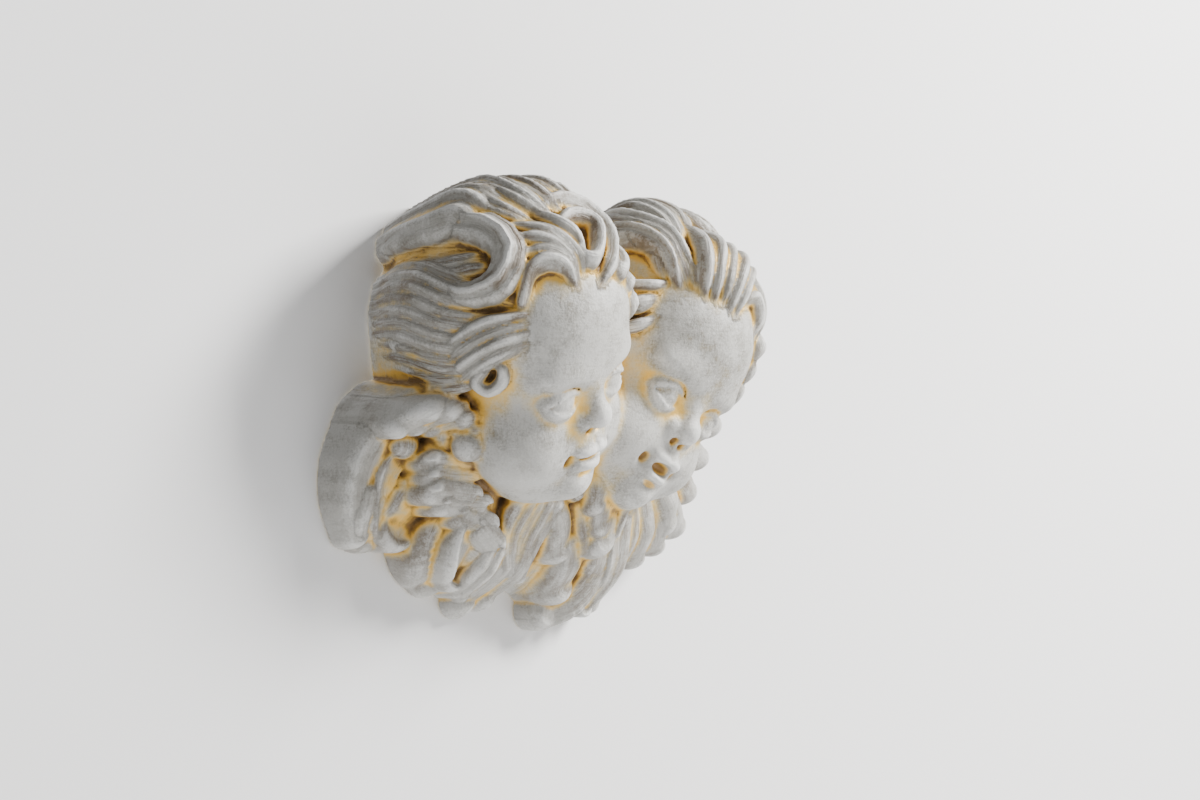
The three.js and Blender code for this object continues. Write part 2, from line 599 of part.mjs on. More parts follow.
// A mass that carries what stands off the wall: centre is [x in mm, then depth and height in
// shares], size in shares
function mass([x, depth, height], size) {
  const c = v3(x, -depth * headHeight, height * headHeight);
  const r = v3(...size).multiplyScalar(headHeight);
  const reach = r.clone().addScalar(0.06 * headHeight);
  return {
    box: new THREE.Box3(c.clone().sub(reach), c.clone().add(reach)),
    distance: (x, y, z) => softMax(ellipsoid(x, y, z, c.x, c.y, c.z, r.x, r.y, r.z), y - wallOverlap, 1),
  };
}
const masses = [
  mass([heads.left.centre.x, 0, 0.2], [0.3, 0.34, 0.41]),
  mass([heads.left.centre.x, 0.17, 0.195], [0.345, 0.26, 0.385]),
  mass([heads.right.centre.x, 0, 0.13], [0.33, 0.34, 0.43]),
  mass([heads.right.centre.x, 0.17, 0.13], [0.345, 0.26, 0.38]),
  mass([headsAside, 0, 0.092], [0.385, 0.277, 0.43]),
];

// The clay, in the order in which it is laid: masses, wings, heads, hair
const wings = [
  ...leftWing.flatMap((shape) => carved(foot(heads.left), shape)),
  ...middleWing.flatMap((shape) => carved(middle, shape)),
  ...rightWing.flatMap((shape) => carved(foot(heads.right), shape)),
];
const bothHeads = Object.values(heads).flatMap((head) => [head, head.scalp()]);
const hair = [
  ...leftHair.flatMap((shape) => locks(heads.left, shape)),
  ...rightHair.flatMap((shape) => locks(heads.right, shape)),
];
const extent = new THREE.Box3();
for (const form of [...masses, ...wings, ...bothHeads, ...hair]) extent.union(form.box);
extent.expandByScalar(2 * cell);
extent.max.y = wallOverlap + 2 * cell;
const clay = new Clay(extent.min, extent.max, cell);
for (const form of masses) clay.add(form, 8);
for (const form of wings) clay.add(form, 1.6);
for (const form of bothHeads) clay.add(form, 3);
for (const form of hair) clay.add(form, 1.8);
clay.work(extent, (v, x, y) => max(v, y - wallOverlap));

// Marching tetrahedra: each grid cube is cut into six tetrahedra around its long diagonal, and
// the surface crosses a tetrahedron as one triangle or two
function surface(clay) {
  const { values, count, low, step } = clay;
  const strides = [1, count.x, count.x * count.y];
  const corners = [];
  for (const [p, q] of [[0, 1], [0, 2], [1, 0], [1, 2], [2, 0], [2, 1]])
    corners.push([0, strides[p], strides[p] + strides[q], strides[0] + strides[1] + strides[2]]);
  const odd = corners.map((_, n) => [1, 2, 5].includes(n));
  const positions = [];
  const triangles = [];
  const known = new Map();
  const place = (n) => [n % count.x, Math.floor(n / count.x) % count.y, Math.floor(n / strides[2])];
  const crossing = (a, b) => {
    const key = a < b ? a * values.length + b : b * values.length + a;
    if (known.has(key)) return known.get(key);
    const t = values[a] / (values[a] - values[b]);
    const [pa, pb] = [place(a), place(b)];
    const index = positions.length / 3;
    [low.x, low.y, low.z].forEach((o, c) => positions.push(o + step * lerp(pa[c], pb[c], t)));
    known.set(key, index);
    return index;
  };
  for (let n = 0; n < values.length; n++) if (abs(values[n]) < 1e-3) values[n] = 1e-3;
  const cube = [0, strides[0]]
    .flatMap((a) => [a, a + strides[1]])
    .flatMap((a) => [a, a + strides[2]]);
  const crossed = (base) => {
    const inside = values[base] < 0;
    for (let c = 1; c < 8; c++) if (values[base + cube[c]] < 0 !== inside) return true;
    return false;
  };
  for (let k = 0; k < count.z - 1; k++)
    for (let j = 0; j < count.y - 1; j++)
      for (let i = 0; i < count.x - 1; i++) {
        const base = i + strides[1] * j + strides[2] * k;
        if (!crossed(base)) continue;
        corners.forEach((offsets, n) => {
          const c = offsets.map((o) => base + o);
          const inside = c.filter((m) => values[m] < 0);
          if (inside.length === 0 || inside.length === 4) return;
          const outside = c.filter((m) => values[m] >= 0);
          const order = [...inside, ...outside].map((m) => c.indexOf(m));
          let flips = 0;
          for (let a = 0; a < 4; a++) for (let b = a + 1; b < 4; b++) if (order[a] > order[b]) flips++;
          const turned = (flips % 2 === 1) !== odd[n];
          const emit = (a, b, d) => triangles.push(...(turned ? [a, d, b] : [a, b, d]));
          if (inside.length === 1) emit(...outside.map((m) => crossing(inside[0], m)));
          if (inside.length === 3) emit(...inside.map((m) => crossing(outside[0], m)));
          if (inside.length === 2) {
            const [a, b, d, e] = [
              crossing(inside[0], outside[0]), crossing(inside[0], outside[1]),
              crossing(inside[1], outside[1]), crossing(inside[1], outside[0]),
            ];
            emit(a, b, d);
            emit(a, d, e);
          }
        });
      }
  return { positions, triangles };
}

// The largest connected skin, its vertices numbered anew
function largestSkin({ positions, triangles }) {
  const parent = Int32Array.from({ length: positions.length / 3 }, (_, i) => i);
  const top = (i) => {
    while (parent[i] !== i) {
      parent[i] = parent[parent[i]];
      i = parent[i];
    }
    return i;
  };
  for (let t = 0; t < triangles.length; t += 3) {
    parent[top(triangles[t])] = top(triangles[t + 1]);
    parent[top(triangles[t + 1])] = top(triangles[t + 2]);
  }
  const sizes = new Map();
  for (let i = 0; i < parent.length; i++) sizes.set(top(i), (sizes.get(top(i)) ?? 0) + 1);
  const main = [...sizes].sort((a, b) => b[1] - a[1])[0][0];
  const renamed = new Map();
  const kept = { positions: [], triangles: [] };
  for (const v of triangles) {
    if (top(v) !== main) continue;
    if (!renamed.has(v)) {
      renamed.set(v, renamed.size);
      kept.positions.push(positions[3 * v], positions[3 * v + 1], positions[3 * v + 2]);
    }
    kept.triangles.push(renamed.get(v));
  }
  return kept;
}

// Thinning: the edge whose loss changes the form least is drawn together, again and again, the
// change being measured by the squared distances to the planes that met there
class Thinner {
  constructor({ positions, triangles }) {
    this.points = Float64Array.from(positions);
    this.faces = Int32Array.from(triangles);
    const count = positions.length / 3;
    this.around = Array.from({ length: count }, () => []);
    this.quadrics = new Float64Array(10 * count);
    this.age = new Int32Array(count);
    this.left = triangles.length / 3;
    this.heap = [];
    this.target = new Float64Array(3);
    const n = new Float64Array(3);
    for (let f = 0; f < this.left; f++) {
      const first = this.faces[3 * f];
      this.normal(f, -1, n);
      const size = Math.hypot(n[0], n[1], n[2]) || 1;
      const [p, q, r] = [n[0] / size, n[1] / size, n[2] / size];
      const [x, y, z] = this.points.subarray(3 * first, 3 * first + 3);
      const s = -(p * x + q * y + r * z);
      const plane = [p * p, p * q, p * r, p * s, q * q, q * r, q * s, r * r, r * s, s * s];
      for (let c = 0; c < 3; c++) {
        const v = this.faces[3 * f + c];
        this.around[v].push(f);
        for (let i = 0; i < 10; i++) this.quadrics[10 * v + i] += plane[i] * size;
      }
    }
  }

  // The normal of face f, with vertex moved standing at the target
  normal(f, moved, out) {
    const { points, faces, target } = this;
    const at = (c, i) => (faces[3 * f + c] === moved ? target[i] : points[3 * faces[3 * f + c] + i]);
    const [ax, ay, az] = [at(0, 0), at(0, 1), at(0, 2)];
    const [ux, uy, uz] = [at(1, 0) - ax, at(1, 1) - ay, at(1, 2) - az];
    const [vx, vy, vz] = [at(2, 0) - ax, at(2, 1) - ay, at(2, 2) - az];
    out[0] = uy * vz - uz * vy;
    out[1] = uz * vx - ux * vz;
    out[2] = ux * vy - uy * vx;
  }

  // The best place for the two vertices drawn together goes into the target; returns its cost
  best(a, b) {
    const { points, quadrics, target } = this;
    const q = new Float64Array(10);
    for (let i = 0; i < 10; i++) q[i] = quadrics[10 * a + i] + quadrics[10 * b + i];
    const cost = (x, y, z) =>
      x * (q[0] * x + 2 * (q[1] * y + q[2] * z + q[3])) + y * (q[4] * y + 2 * (q[5] * z + q[6])) +
      z * (q[7] * z + 2 * q[8]) + q[9];
    const [ax, ay, az] = [points[3 * a], points[3 * a + 1], points[3 * a + 2]];
    const [bx, by, bz] = [points[3 * b], points[3 * b + 1], points[3 * b + 2]];
    let least = Infinity;
    const weigh = (x, y, z) => {
      const worth = cost(x, y, z);
      if (worth >= least) return;
      least = worth;
      target[0] = x;
      target[1] = y;
      target[2] = z;
    };
    weigh(ax, ay, az);
    weigh(bx, by, bz);
    weigh((ax + bx) / 2, (ay + by) / 2, (az + bz) / 2);
    const [c0, c1, c2] = [q[4] * q[7] - q[5] * q[5], q[2] * q[5] - q[1] * q[7], q[1] * q[5] - q[2] * q[4]];
    const whole = q[0] * c0 + q[1] * c1 + q[2] * c2;
    if (whole > 1e-6 * (q[0] + q[4] + q[7]) ** 3) {
      const [c4, c5, c7] = [q[0] * q[7] - q[2] * q[2], q[1] * q[2] - q[0] * q[5], q[0] * q[4] - q[1] * q[1]];
      const x = -(c0 * q[3] + c1 * q[6] + c2 * q[8]) / whole;
      const y = -(c1 * q[3] + c4 * q[6] + c5 * q[8]) / whole;
      const z = -(c2 * q[3] + c5 * q[6] + c7 * q[8]) / whole;
      if (Math.hypot(x - (ax + bx) / 2, y - (ay + by) / 2, z - (az + bz) / 2) < 3 * cell) weigh(x, y, z);
    }
    return least + 1e-4 * ((ax - bx) ** 2 + (ay - by) ** 2 + (az - bz) ** 2);
  }

  offer(a, b) {
    const { heap, age } = this;
    const entry = { worth: this.best(a, b), a, b, stamp: age[a] + age[b] };
    let i = heap.push(entry) - 1;
    while (i > 0) {
      const up = (i - 1) >> 1;
      if (heap[up].worth <= entry.worth) break;
      heap[i] = heap[up];
      i = up;
    }
    heap[i] = entry;
  }

  take() {
    const { heap } = this;
    const first = heap[0];
    const last = heap.pop();
    if (heap.length === 0) return first;
    let i = 0;
    for (;;) {
      let child = 2 * i + 1;
      if (child >= heap.length) break;
      if (child + 1 < heap.length && heap[child + 1].worth < heap[child].worth) child++;
      if (heap[child].worth >= last.worth) break;
      heap[i] = heap[child];
      i = child;
    }
    heap[i] = last;
    return first;
  }

  neighbours(v) {
    const found = [];
    for (const f of this.around[v])
      for (let c = 0; c < 3; c++) {
        const w = this.faces[3 * f + c];
        if (w !== v && !found.includes(w)) found.push(w);
      }
    return found;
  }

  has(f, v) {
    return this.faces[3 * f] === v || this.faces[3 * f + 1] === v || this.faces[3 * f + 2] === v;
  }

  // Whether drawing a and b together would turn a face over
  folds(a, b) {
    const [before, after] = [new Float64Array(3), new Float64Array(3)];
    for (const [v, other] of [[a, b], [b, a]])
      for (const f of this.around[v]) {
        if (this.has(f, other)) continue;
        this.normal(f, -1, before);
        this.normal(f, v, after);
        const dot = before[0] * after[0] + before[1] * after[1] + before[2] * after[2];
        const sizes = Math.hypot(...before) * Math.hypot(...after);
        if (dot < 0.3 * sizes || sizes === 0) return true;
      }
    return false;
  }

  run(wanted) {
    const { faces, points, around, quadrics, age, target, heap } = this;
    for (let f = 0; f < faces.length; f += 3)
      for (let c = 0; c < 3; c++) {
        const [a, b] = [faces[f + c], faces[f + ((c + 1) % 3)]];
        if (a < b) this.offer(a, b);
      }
    while (this.left > wanted && heap.length > 0) {
      const { a, b, stamp } = this.take();
      if (!around[a] || !around[b] || stamp !== age[a] + age[b]) continue;
      const near = this.neighbours(a);
      if (!near.includes(b)) continue;
      if (this.neighbours(b).filter((v) => near.includes(v)).length !== 2) continue;
      if (around[a].filter((f) => this.has(f, b)).length !== 2) continue;
      this.best(a, b);
      if (this.folds(a, b)) continue;
      points.set(target, 3 * a);
      for (let i = 0; i < 10; i++) quadrics[10 * a + i] += quadrics[10 * b + i];
      for (const f of around[b]) {
        if (this.has(f, a)) {
          for (let c = 0; c < 3; c++) {
            const w = faces[3 * f + c];
            if (w !== b) around[w] = around[w].filter((g) => g !== f);
          }
          faces[3 * f] = -1;
          this.left--;
        } else {
          for (let c = 0; c < 3; c++) if (faces[3 * f + c] === b) faces[3 * f + c] = a;
          around[a].push(f);
        }
      }
      around[b] = null;
      age[a]++;
      for (const v of this.neighbours(a)) this.offer(a, v);
    }
    const renamed = new Map();
    const kept = { positions: [], triangles: [] };
    for (let f = 0; f < faces.length; f += 3) {
      if (faces[f] < 0) continue;
      for (let c = 0; c < 3; c++) {
        const v = faces[f + c];
        if (!renamed.has(v)) {
          renamed.set(v, renamed.size);
          kept.positions.push(points[3 * v], points[3 * v + 1], points[3 * v + 2]);
        }
        kept.triangles.push(renamed.get(v));
      }
    }
    return kept;
  }
}

// The cuts: the back is sawn off flat, and the hanging recess is sunk into it
const kernel = await Module();
kernel.setup();
function solid({ positions, triangles }) {
  const mesh = new kernel.Mesh({
    numProp: 3,
    vertProperties: Float32Array.from(positions),
    triVerts: Uint32Array.from(triangles),
  });
  return new kernel.Manifold(mesh);
}
const recess = new THREE.BoxGeometry(nailPocket.width, 2 * nailPocket.depth, nailPocket.height);
recess.translate(0, 0, nailPocket.rise - nailPocket.height / 2);
recess.deleteAttribute("normal");
recess.deleteAttribute("uv");
const recessMesh = mergeVertices(recess);
const recessSolid = solid({
  positions: recessMesh.attributes.position.array,
  triangles: recessMesh.index.array,
});

const skin = new Thinner(largestSkin(surface(clay))).run(triangleBudget);
const body = solid(skin).trimByPlane([0, -1, 0], 0).translate([-hangingLine, 0, 0]).subtract(recessSolid);
const { vertProperties, triVerts } = body.getMesh();

const geometry = new THREE.BufferGeometry();
geometry.setAttribute("position", new THREE.BufferAttribute(vertProperties, 3));
geometry.setIndex(new THREE.BufferAttribute(triVerts, 1));
const plaque = new THREE.Mesh(
  geometry.toNonIndexed(),
  new THREE.MeshStandardMaterial({ color: 0xbfbab0, roughness: 0.85, metalness: 0 }),
);
plaque.name = "plaque";
plaque.geometry.computeVertexNormals();

const group = new THREE.Group();
group.name = "cherub_wall_plaque";
group.add(plaque);
export default group;
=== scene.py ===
import bpy
import time
import numpy as np
from math import radians, sin, cos, pi
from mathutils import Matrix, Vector


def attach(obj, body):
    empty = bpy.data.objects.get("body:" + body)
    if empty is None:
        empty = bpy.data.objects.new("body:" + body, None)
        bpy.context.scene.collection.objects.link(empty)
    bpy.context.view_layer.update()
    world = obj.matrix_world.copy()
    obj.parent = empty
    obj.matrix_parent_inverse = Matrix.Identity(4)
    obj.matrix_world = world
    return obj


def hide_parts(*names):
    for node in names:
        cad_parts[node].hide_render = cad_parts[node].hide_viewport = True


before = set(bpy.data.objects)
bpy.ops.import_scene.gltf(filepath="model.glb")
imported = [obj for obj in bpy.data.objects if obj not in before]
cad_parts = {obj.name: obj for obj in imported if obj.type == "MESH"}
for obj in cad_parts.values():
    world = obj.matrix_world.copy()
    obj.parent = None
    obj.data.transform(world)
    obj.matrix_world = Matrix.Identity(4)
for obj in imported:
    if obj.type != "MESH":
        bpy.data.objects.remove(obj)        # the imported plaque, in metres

startTime = time.time()
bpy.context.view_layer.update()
nailPocket = {"width": 12, "height": 8, "depth": 11, "rise": 52}   # mm, the recess in the back


def report(stage):
    print("%-28s %6.1f s" % (stage, time.time() - startTime))


def drop(*things):
    for thing in things:
        bpy.data.objects.remove(thing, do_unlink=True)


viewpoint = {
    "azimuth": -52, "elevation": 2, "distance": 1.1, "lens": 75.9, "sensor": 36, "picture": (1200, 800),
    "aim": (-0.016, -0.035, 0), "aimPixel": (542, 402),   # where the aim lands in the picture
}
azimuth, elevation = radians(viewpoint["azimuth"]), radians(viewpoint["elevation"])
back = Vector((sin(azimuth) * cos(elevation), -cos(azimuth) * cos(elevation), sin(elevation)))
across = (-back).cross(Vector((0, 0, 1))).normalized()
upward = across.cross(-back)
pixel = viewpoint["sensor"] / viewpoint["picture"][0] / viewpoint["lens"] * viewpoint["distance"]
offX, offY = [whole / 2 - at for whole, at in zip(viewpoint["picture"], viewpoint["aimPixel"])]
aside = across * offX * pixel - upward * offY * pixel
bpy.ops.object.camera_add(location=Vector(viewpoint["aim"]) + aside + back * viewpoint["distance"])
camera = bpy.context.object
camera.rotation_euler = (-back).to_track_quat("-Z", "Y").to_euler()
camera.data.lens = viewpoint["lens"]
camera.data.sensor_width = viewpoint["sensor"]
camera.data.clip_start = 0.05
bpy.context.scene.camera = camera
report("camera")


# sculpting, in mm
headHeight = 130.0       # crown to chin, every carving is a share of it
headSpacing = 82.0       # between the two heads' centres
headsAside = 10.0        # from the middle of the wings to the middle between the heads
headStandOff = 46.0      # from the wall to the heads' centres
headBreadth = 0.94       # shares of the height
headLength = 0.9
hangingLine = 16.5       # the plaque hangs level from this line, right of the wings' middle
wallOverlap = 5.0        # clay behind the wall plane, sawn off at the end
skull = {"centre": (0, -0.06, 0.125), "scalp": (0.382, 0.435, 0.372), "roots": (0.372, 0.425, 0.362)}


def softMin(a, b, k):
    h = np.clip(0.5 + 0.5 * (b - a) / k, 0, 1)
    return b + (a - b) * h - k * h * (1 - h)


def softMax(a, b, k):
    return -softMin(-a, -b, k)


def lerp(a, b, t):
    return a + (b - a) * t


def ellipsoid(x, y, z, c, r):
    a, b, d = (x - c[0]) / r[0], (y - c[1]) / r[1], (z - c[2]) / r[2]
    near = np.sqrt(a * a + b * b + d * d)
    slope = np.sqrt((a / r[0]) ** 2 + (b / r[1]) ** 2 + (d / r[2]) ** 2) + 1e-9
    return near * (near - 1) / slope


def cone(x, y, z, a, b, ra, rb):
    a, b = np.array(a, float), np.array(b, float)
    d = b - a
    px, py, pz = x - a[0], y - a[1], z - a[2]
    t = np.clip((px * d[0] + py * d[1] + pz * d[2]) / (d @ d), 0, 1)
    return np.sqrt((px - t * d[0]) ** 2 + (py - t * d[1]) ** 2 + (pz - t * d[2]) ** 2) - (ra + (rb - ra) * t)


def headDistance(px, y, z, parted):
    # a child's head, in shares of its height: x to the side, y to the front, z up
    x = np.abs(px)

    def e(cx, cy, cz, rx, ry, rz):
        return ellipsoid(x, y, z, (cx, cy, cz), (rx, ry, rz))

    # skull, brow, jaw, cheeks, chin
    d = e(0, -0.06, 0.125, 0.36, 0.415, 0.352)
    d = softMin(d, e(0, 0.14, 0.14, 0.305, 0.25, 0.245), 0.08)
    d = softMin(d, e(0, 0.08, -0.17, 0.285, 0.275, 0.29), 0.12)
    d = softMin(d, e(0.16, 0.165, -0.225, 0.178, 0.19, 0.165), 0.07)
    d = softMin(d, e(0, 0.15, -0.375, 0.2, 0.185, 0.105), 0.07)
    d = softMin(d, e(0, 0.315, -0.375, 0.07, 0.052, 0.05), 0.06)
    # brow ridge, eye sockets, the swell round the mouth
    d = softMin(d, e(0.12, 0.29, 0.05, 0.13, 0.07, 0.045), 0.07)
    d = softMax(d, -e(0.14, 0.45, -0.05, 0.09, 0.105, 0.05), 0.06)
    d = softMin(d, e(0, 0.295, -0.25, 0.1, 0.085, 0.085), 0.08)
    nose = cone(x, y, z, (0, 0.305, 0.01), (0, 0.375, -0.1), 0.036, 0.038)
    nose = softMin(nose, e(0, 0.385, -0.118, 0.052, 0.046, 0.042), 0.03)
    nose = softMin(nose, e(0.054, 0.352, -0.132, 0.032, 0.036, 0.03), 0.02)
    d = softMin(d, nose, 0.035)
    d = softMax(d, -e(0.027, 0.376, -0.167, 0.016, 0.024, 0.014), 0.014)
    # lips, the slit between them, its corners, the groove above and the fold below
    upperLip = e(0.026, 0.372, -0.236, 0.056, 0.034, 0.021)
    lowerLip = e(0, 0.365, -0.29 - 0.018 * parted, 0.052, 0.036, 0.024)
    d = softMin(d, softMin(upperLip, lowerLip, 0.012), 0.024)
    slit = e(0, 0.4, -0.262 - 0.008 * parted, 0.08 - 0.012 * parted, 0.06, 0.006 + 0.018 * parted)
    d = softMax(d, -slit, 0.012)
    d = softMax(d, -e(0.1, 0.355, -0.266, 0.018, 0.03, 0.02), 0.03)
    d = softMax(d, -e(0, 0.412, -0.205, 0.012, 0.028, 0.024), 0.014)
    d = softMax(d, -e(0, 0.4, -0.332, 0.06, 0.045, 0.014), 0.03)
    # eyes, lids and the fold over the upper lid
    ex, ey, ez = (x - 0.14) / 1.08, y - 0.285, z + 0.052
    ball = np.sqrt(ex * ex + ey * ey + ez * ez) - 0.068
    lid = ball - 0.015
    arch = 1 - (ex / 0.074) ** 2
    upperLid = softMax(lid, (0.034 * arch - ez) * 0.8, 0.006)
    lowerLid = softMax(lid + 0.002, (ez + 0.028 * arch) * 0.8, 0.006)
    d = softMin(d, ball, 0.006)
    d = softMin(d, softMin(upperLid, lowerLid, 0.006), 0.01)
    fold = np.sqrt((ball - 0.02) ** 2 + (ez - 0.034 * arch - 0.022) ** 2) - 0.006 * np.clip(2 * arch, 0, 1)
    d = softMax(d, -fold, 0.006)
    ear = e(0.375, -0.03, -0.09, 0.035, 0.065, 0.1)
    ear = softMax(ear, -e(0.415, -0.015, -0.08, 0.024, 0.036, 0.06), 0.015)
    return softMin(d, ear, 0.02)


class Clay:
    def __init__(self, low, high, step):
        self.low = np.array(low, float)
        self.step = step
        self.count = np.ceil((np.array(high) - self.low) / step).astype(int) + 1
        # mm to the surface, less than 0 inside
        self.values = np.full(tuple(self.count), 4.0 * step, np.float32)

    def box(self, low, high):
        a = np.clip(np.floor((np.array(low) - self.low) / self.step).astype(int), 0, self.count)
        b = np.clip(np.ceil((np.array(high) - self.low) / self.step).astype(int) + 1, 0, self.count)
        axes = [self.low[i] + self.step * np.arange(a[i], b[i]) for i in range(3)]
        x, y, z = [v.astype(np.float32) for v in axes]
        cells = tuple(slice(p, q) for p, q in zip(a, b))
        return cells, x[:, None, None], y[None, :, None], z[None, None, :]

    def add(self, form, soft, lively, number):
        # soft is how many mm the joint is rounded over, lively how many mm the form swells and sinks
        cells, x, y, z = self.box(*form["box"])
        if 0 in self.values[cells].shape:
            return
        wave = np.sin(x / 5.3 + number) * np.sin(z / 6.1 + 2 * number) * np.cos(y / 7.7)
        distance = form["distance"](x, y, z) + lively * (wave + np.sin(2.4 * number))
        self.values[cells] = softMin(self.values[cells], distance, soft(x, y, z) if callable(soft) else soft)


def euler(yaw, pitch, roll):
    y, p, r = radians(yaw), radians(pitch), radians(roll)
    rz = np.array([[cos(y), -sin(y), 0], [sin(y), cos(y), 0], [0, 0, 1]])
    rx = np.array([[1, 0, 0], [0, cos(p), -sin(p)], [0, sin(p), cos(p)]])
    ry = np.array([[cos(r), 0, sin(r)], [0, 1, 0], [-sin(r), 0, cos(r)]])
    return rz @ rx @ ry


class Head:
    def __init__(self, centre, yaw, pitch, roll, parted):
        self.centre = np.array(centre, float)
        self.parted = parted
        self.scale = np.array([headBreadth, -headLength, 1.0]) * headHeight
        self.turn = euler(yaw, pitch, roll)
        # plaque = turn @ diag(scale) @ local + centre
        self.toPlaque = self.turn @ np.diag(self.scale)
        self.toHead = np.linalg.inv(self.toPlaque)
        reach = 0.6 * headHeight
        self.reach = (self.centre - reach, self.centre + reach)

    def shares(self, x, y, z):
        c, m = self.centre, self.toHead.astype(np.float32)
        x, y, z = x - np.float32(c[0]), y - np.float32(c[1]), z - np.float32(c[2])
        return [m[i, 0] * x + m[i, 1] * y + m[i, 2] * z for i in range(3)]

    def form(self):
        def distance(x, y, z):
            a, b, c = self.shares(x, y, z)
            return (0.9 * headHeight * headDistance(a, b, c, self.parted)).astype(np.float32)
        return dict(box=self.reach, distance=distance)

    def scalp(self):
        def distance(x, y, z):
            a, b, c = self.shares(x, y, z)
            cap = ellipsoid(a, b, c, skull["centre"], skull["scalp"])
            return headHeight * softMax(cap, 0.947 * b - 0.322 * c - 0.168, 0.02)      # ends at the hairline
        return dict(box=self.reach, distance=distance)

    def onSkull(self, around, back, lift):
        # degrees about the skull's centre: back from the face's front, around from the crown
        a, b = radians(around), radians(back)
        way = np.array([sin(b) * sin(a), cos(b), sin(b) * cos(a)])
        reach = 1 / np.linalg.norm(way / np.array(skull["roots"]))
        local = way * (reach + lift) + np.array(skull["centre"])
        return self.toPlaque @ local + self.centre


def catmull(points, count):
    # centripetal Catmull-Rom through all points
    p = [np.array(q, float) for q in points]
    n = len(p)
    out = []
    for i in range(count + 1):
        t = (n - 1) * i / count
        k = min(int(t), n - 2)
        w = t - k
        p1, p2 = p[k], p[k + 1]
        p0 = p[k - 1] if k > 0 else 2 * p1 - p2
        p3 = p[k + 2] if k + 2 < n else 2 * p2 - p1
        d0, d1, d2 = [max(1e-4, np.linalg.norm(b - a)) ** 0.5 for a, b in ((p0, p1), (p1, p2), (p2, p3))]
        m1 = ((p1 - p0) / d0 - (p2 - p0) / (d0 + d1) + (p2 - p1) / d1) * d1
        m2 = ((p2 - p1) / d1 - (p3 - p1) / (d1 + d2) + (p3 - p2) / d2) * d1
        start, finish = (2 * w**3 - 3 * w**2 + 1) * p1, (-2 * w**3 + 3 * w**2) * p2
        out.append(start + (w**3 - 2 * w**2 + w) * m1 + finish + (w**3 - w**2) * m2)
    return out


# a lock of hair: a round bar along a path, flattened to the skull, thin at both ends, grooved into strands
def lock(points, origin, width, thick, strands):
    steps = 14
    thinnest = 0.25
    path = catmull(points, steps)
    frames = []
    for i, p in enumerate(path):
        along = path[min(i + 1, steps)] - path[max(i - 1, 0)]
        side = np.cross(along, p - origin)
        side /= np.linalg.norm(side) + 1e-9
        out = np.cross(side, along)
        frames.append((p, side, out / (np.linalg.norm(out) + 1e-9)))
    box = (np.min(path, 0) - width * 0.75 - 3, np.max(path, 0) + width * 0.75 + 3)
    length = np.linalg.norm(np.diff(path, axis=0), axis=1).sum()

    def nearest(x, y, z):
        shape = np.broadcast_shapes(x.shape, y.shape, z.shape)
        best = np.full(shape, 1e12, np.float32)
        s = np.zeros(shape, np.float32)
        for i in range(steps):
            a, d = path[i], path[i + 1] - path[i]
            dx, dy, dz = d.astype(np.float32)
            qx, qy, qz = x - np.float32(a[0]), y - np.float32(a[1]), z - np.float32(a[2])
            t = np.clip((qx * dx + qy * dy + qz * dz) / np.float32(d @ d), 0, 1)
            far = (qx - t * dx) ** 2 + (qy - t * dy) ** 2 + (qz - t * dz) ** 2
            near = far < best
            best = np.where(near, far, best)
            s = np.where(near, i + t, s)
        k = np.minimum(s.astype(int), steps - 1)
        w = s - k
        table = np.array([np.concatenate(f) for f in frames], np.float32)
        f = table[k] * (1 - w)[..., None] + table[k + 1] * w[..., None]
        rx, ry, rz = x - f[..., 0], y - f[..., 1], z - f[..., 2]
        across = rx * f[..., 3] + ry * f[..., 4] + rz * f[..., 5]
        out = rx * f[..., 6] + ry * f[..., 7] + rz * f[..., 8]
        along = np.sqrt(np.maximum(0, best - across**2 - out**2))
        return across, out, along, s / steps

    def distance(x, y, z):
        across, out, along, u = nearest(x, y, z)
        fat = thinnest + (1 - thinnest) * np.maximum(0, np.sin(pi * np.minimum(1, 0.12 + 0.88 * u))) ** 0.7
        wide, high = 0.5 * width * fat, 0.5 * thick * fat
        high = high * (1 + 0.16 * np.cos(across / wide * pi * strands) * (np.abs(across) < wide * 1.05))
        a, b, c = across / wide, out / high, along / high
        near = np.sqrt(a * a + b * b + c * c)
        slope = np.sqrt((a / wide) ** 2 + (b / high) ** 2 + (c / high) ** 2) + 1e-9
        return (near * (near - 1) / slope).astype(np.float32)

    def strand(x, y, z):
        across, _, _, u = nearest(x, y, z)
        return across, u * length
    return dict(box=box, distance=distance, strand=strand)


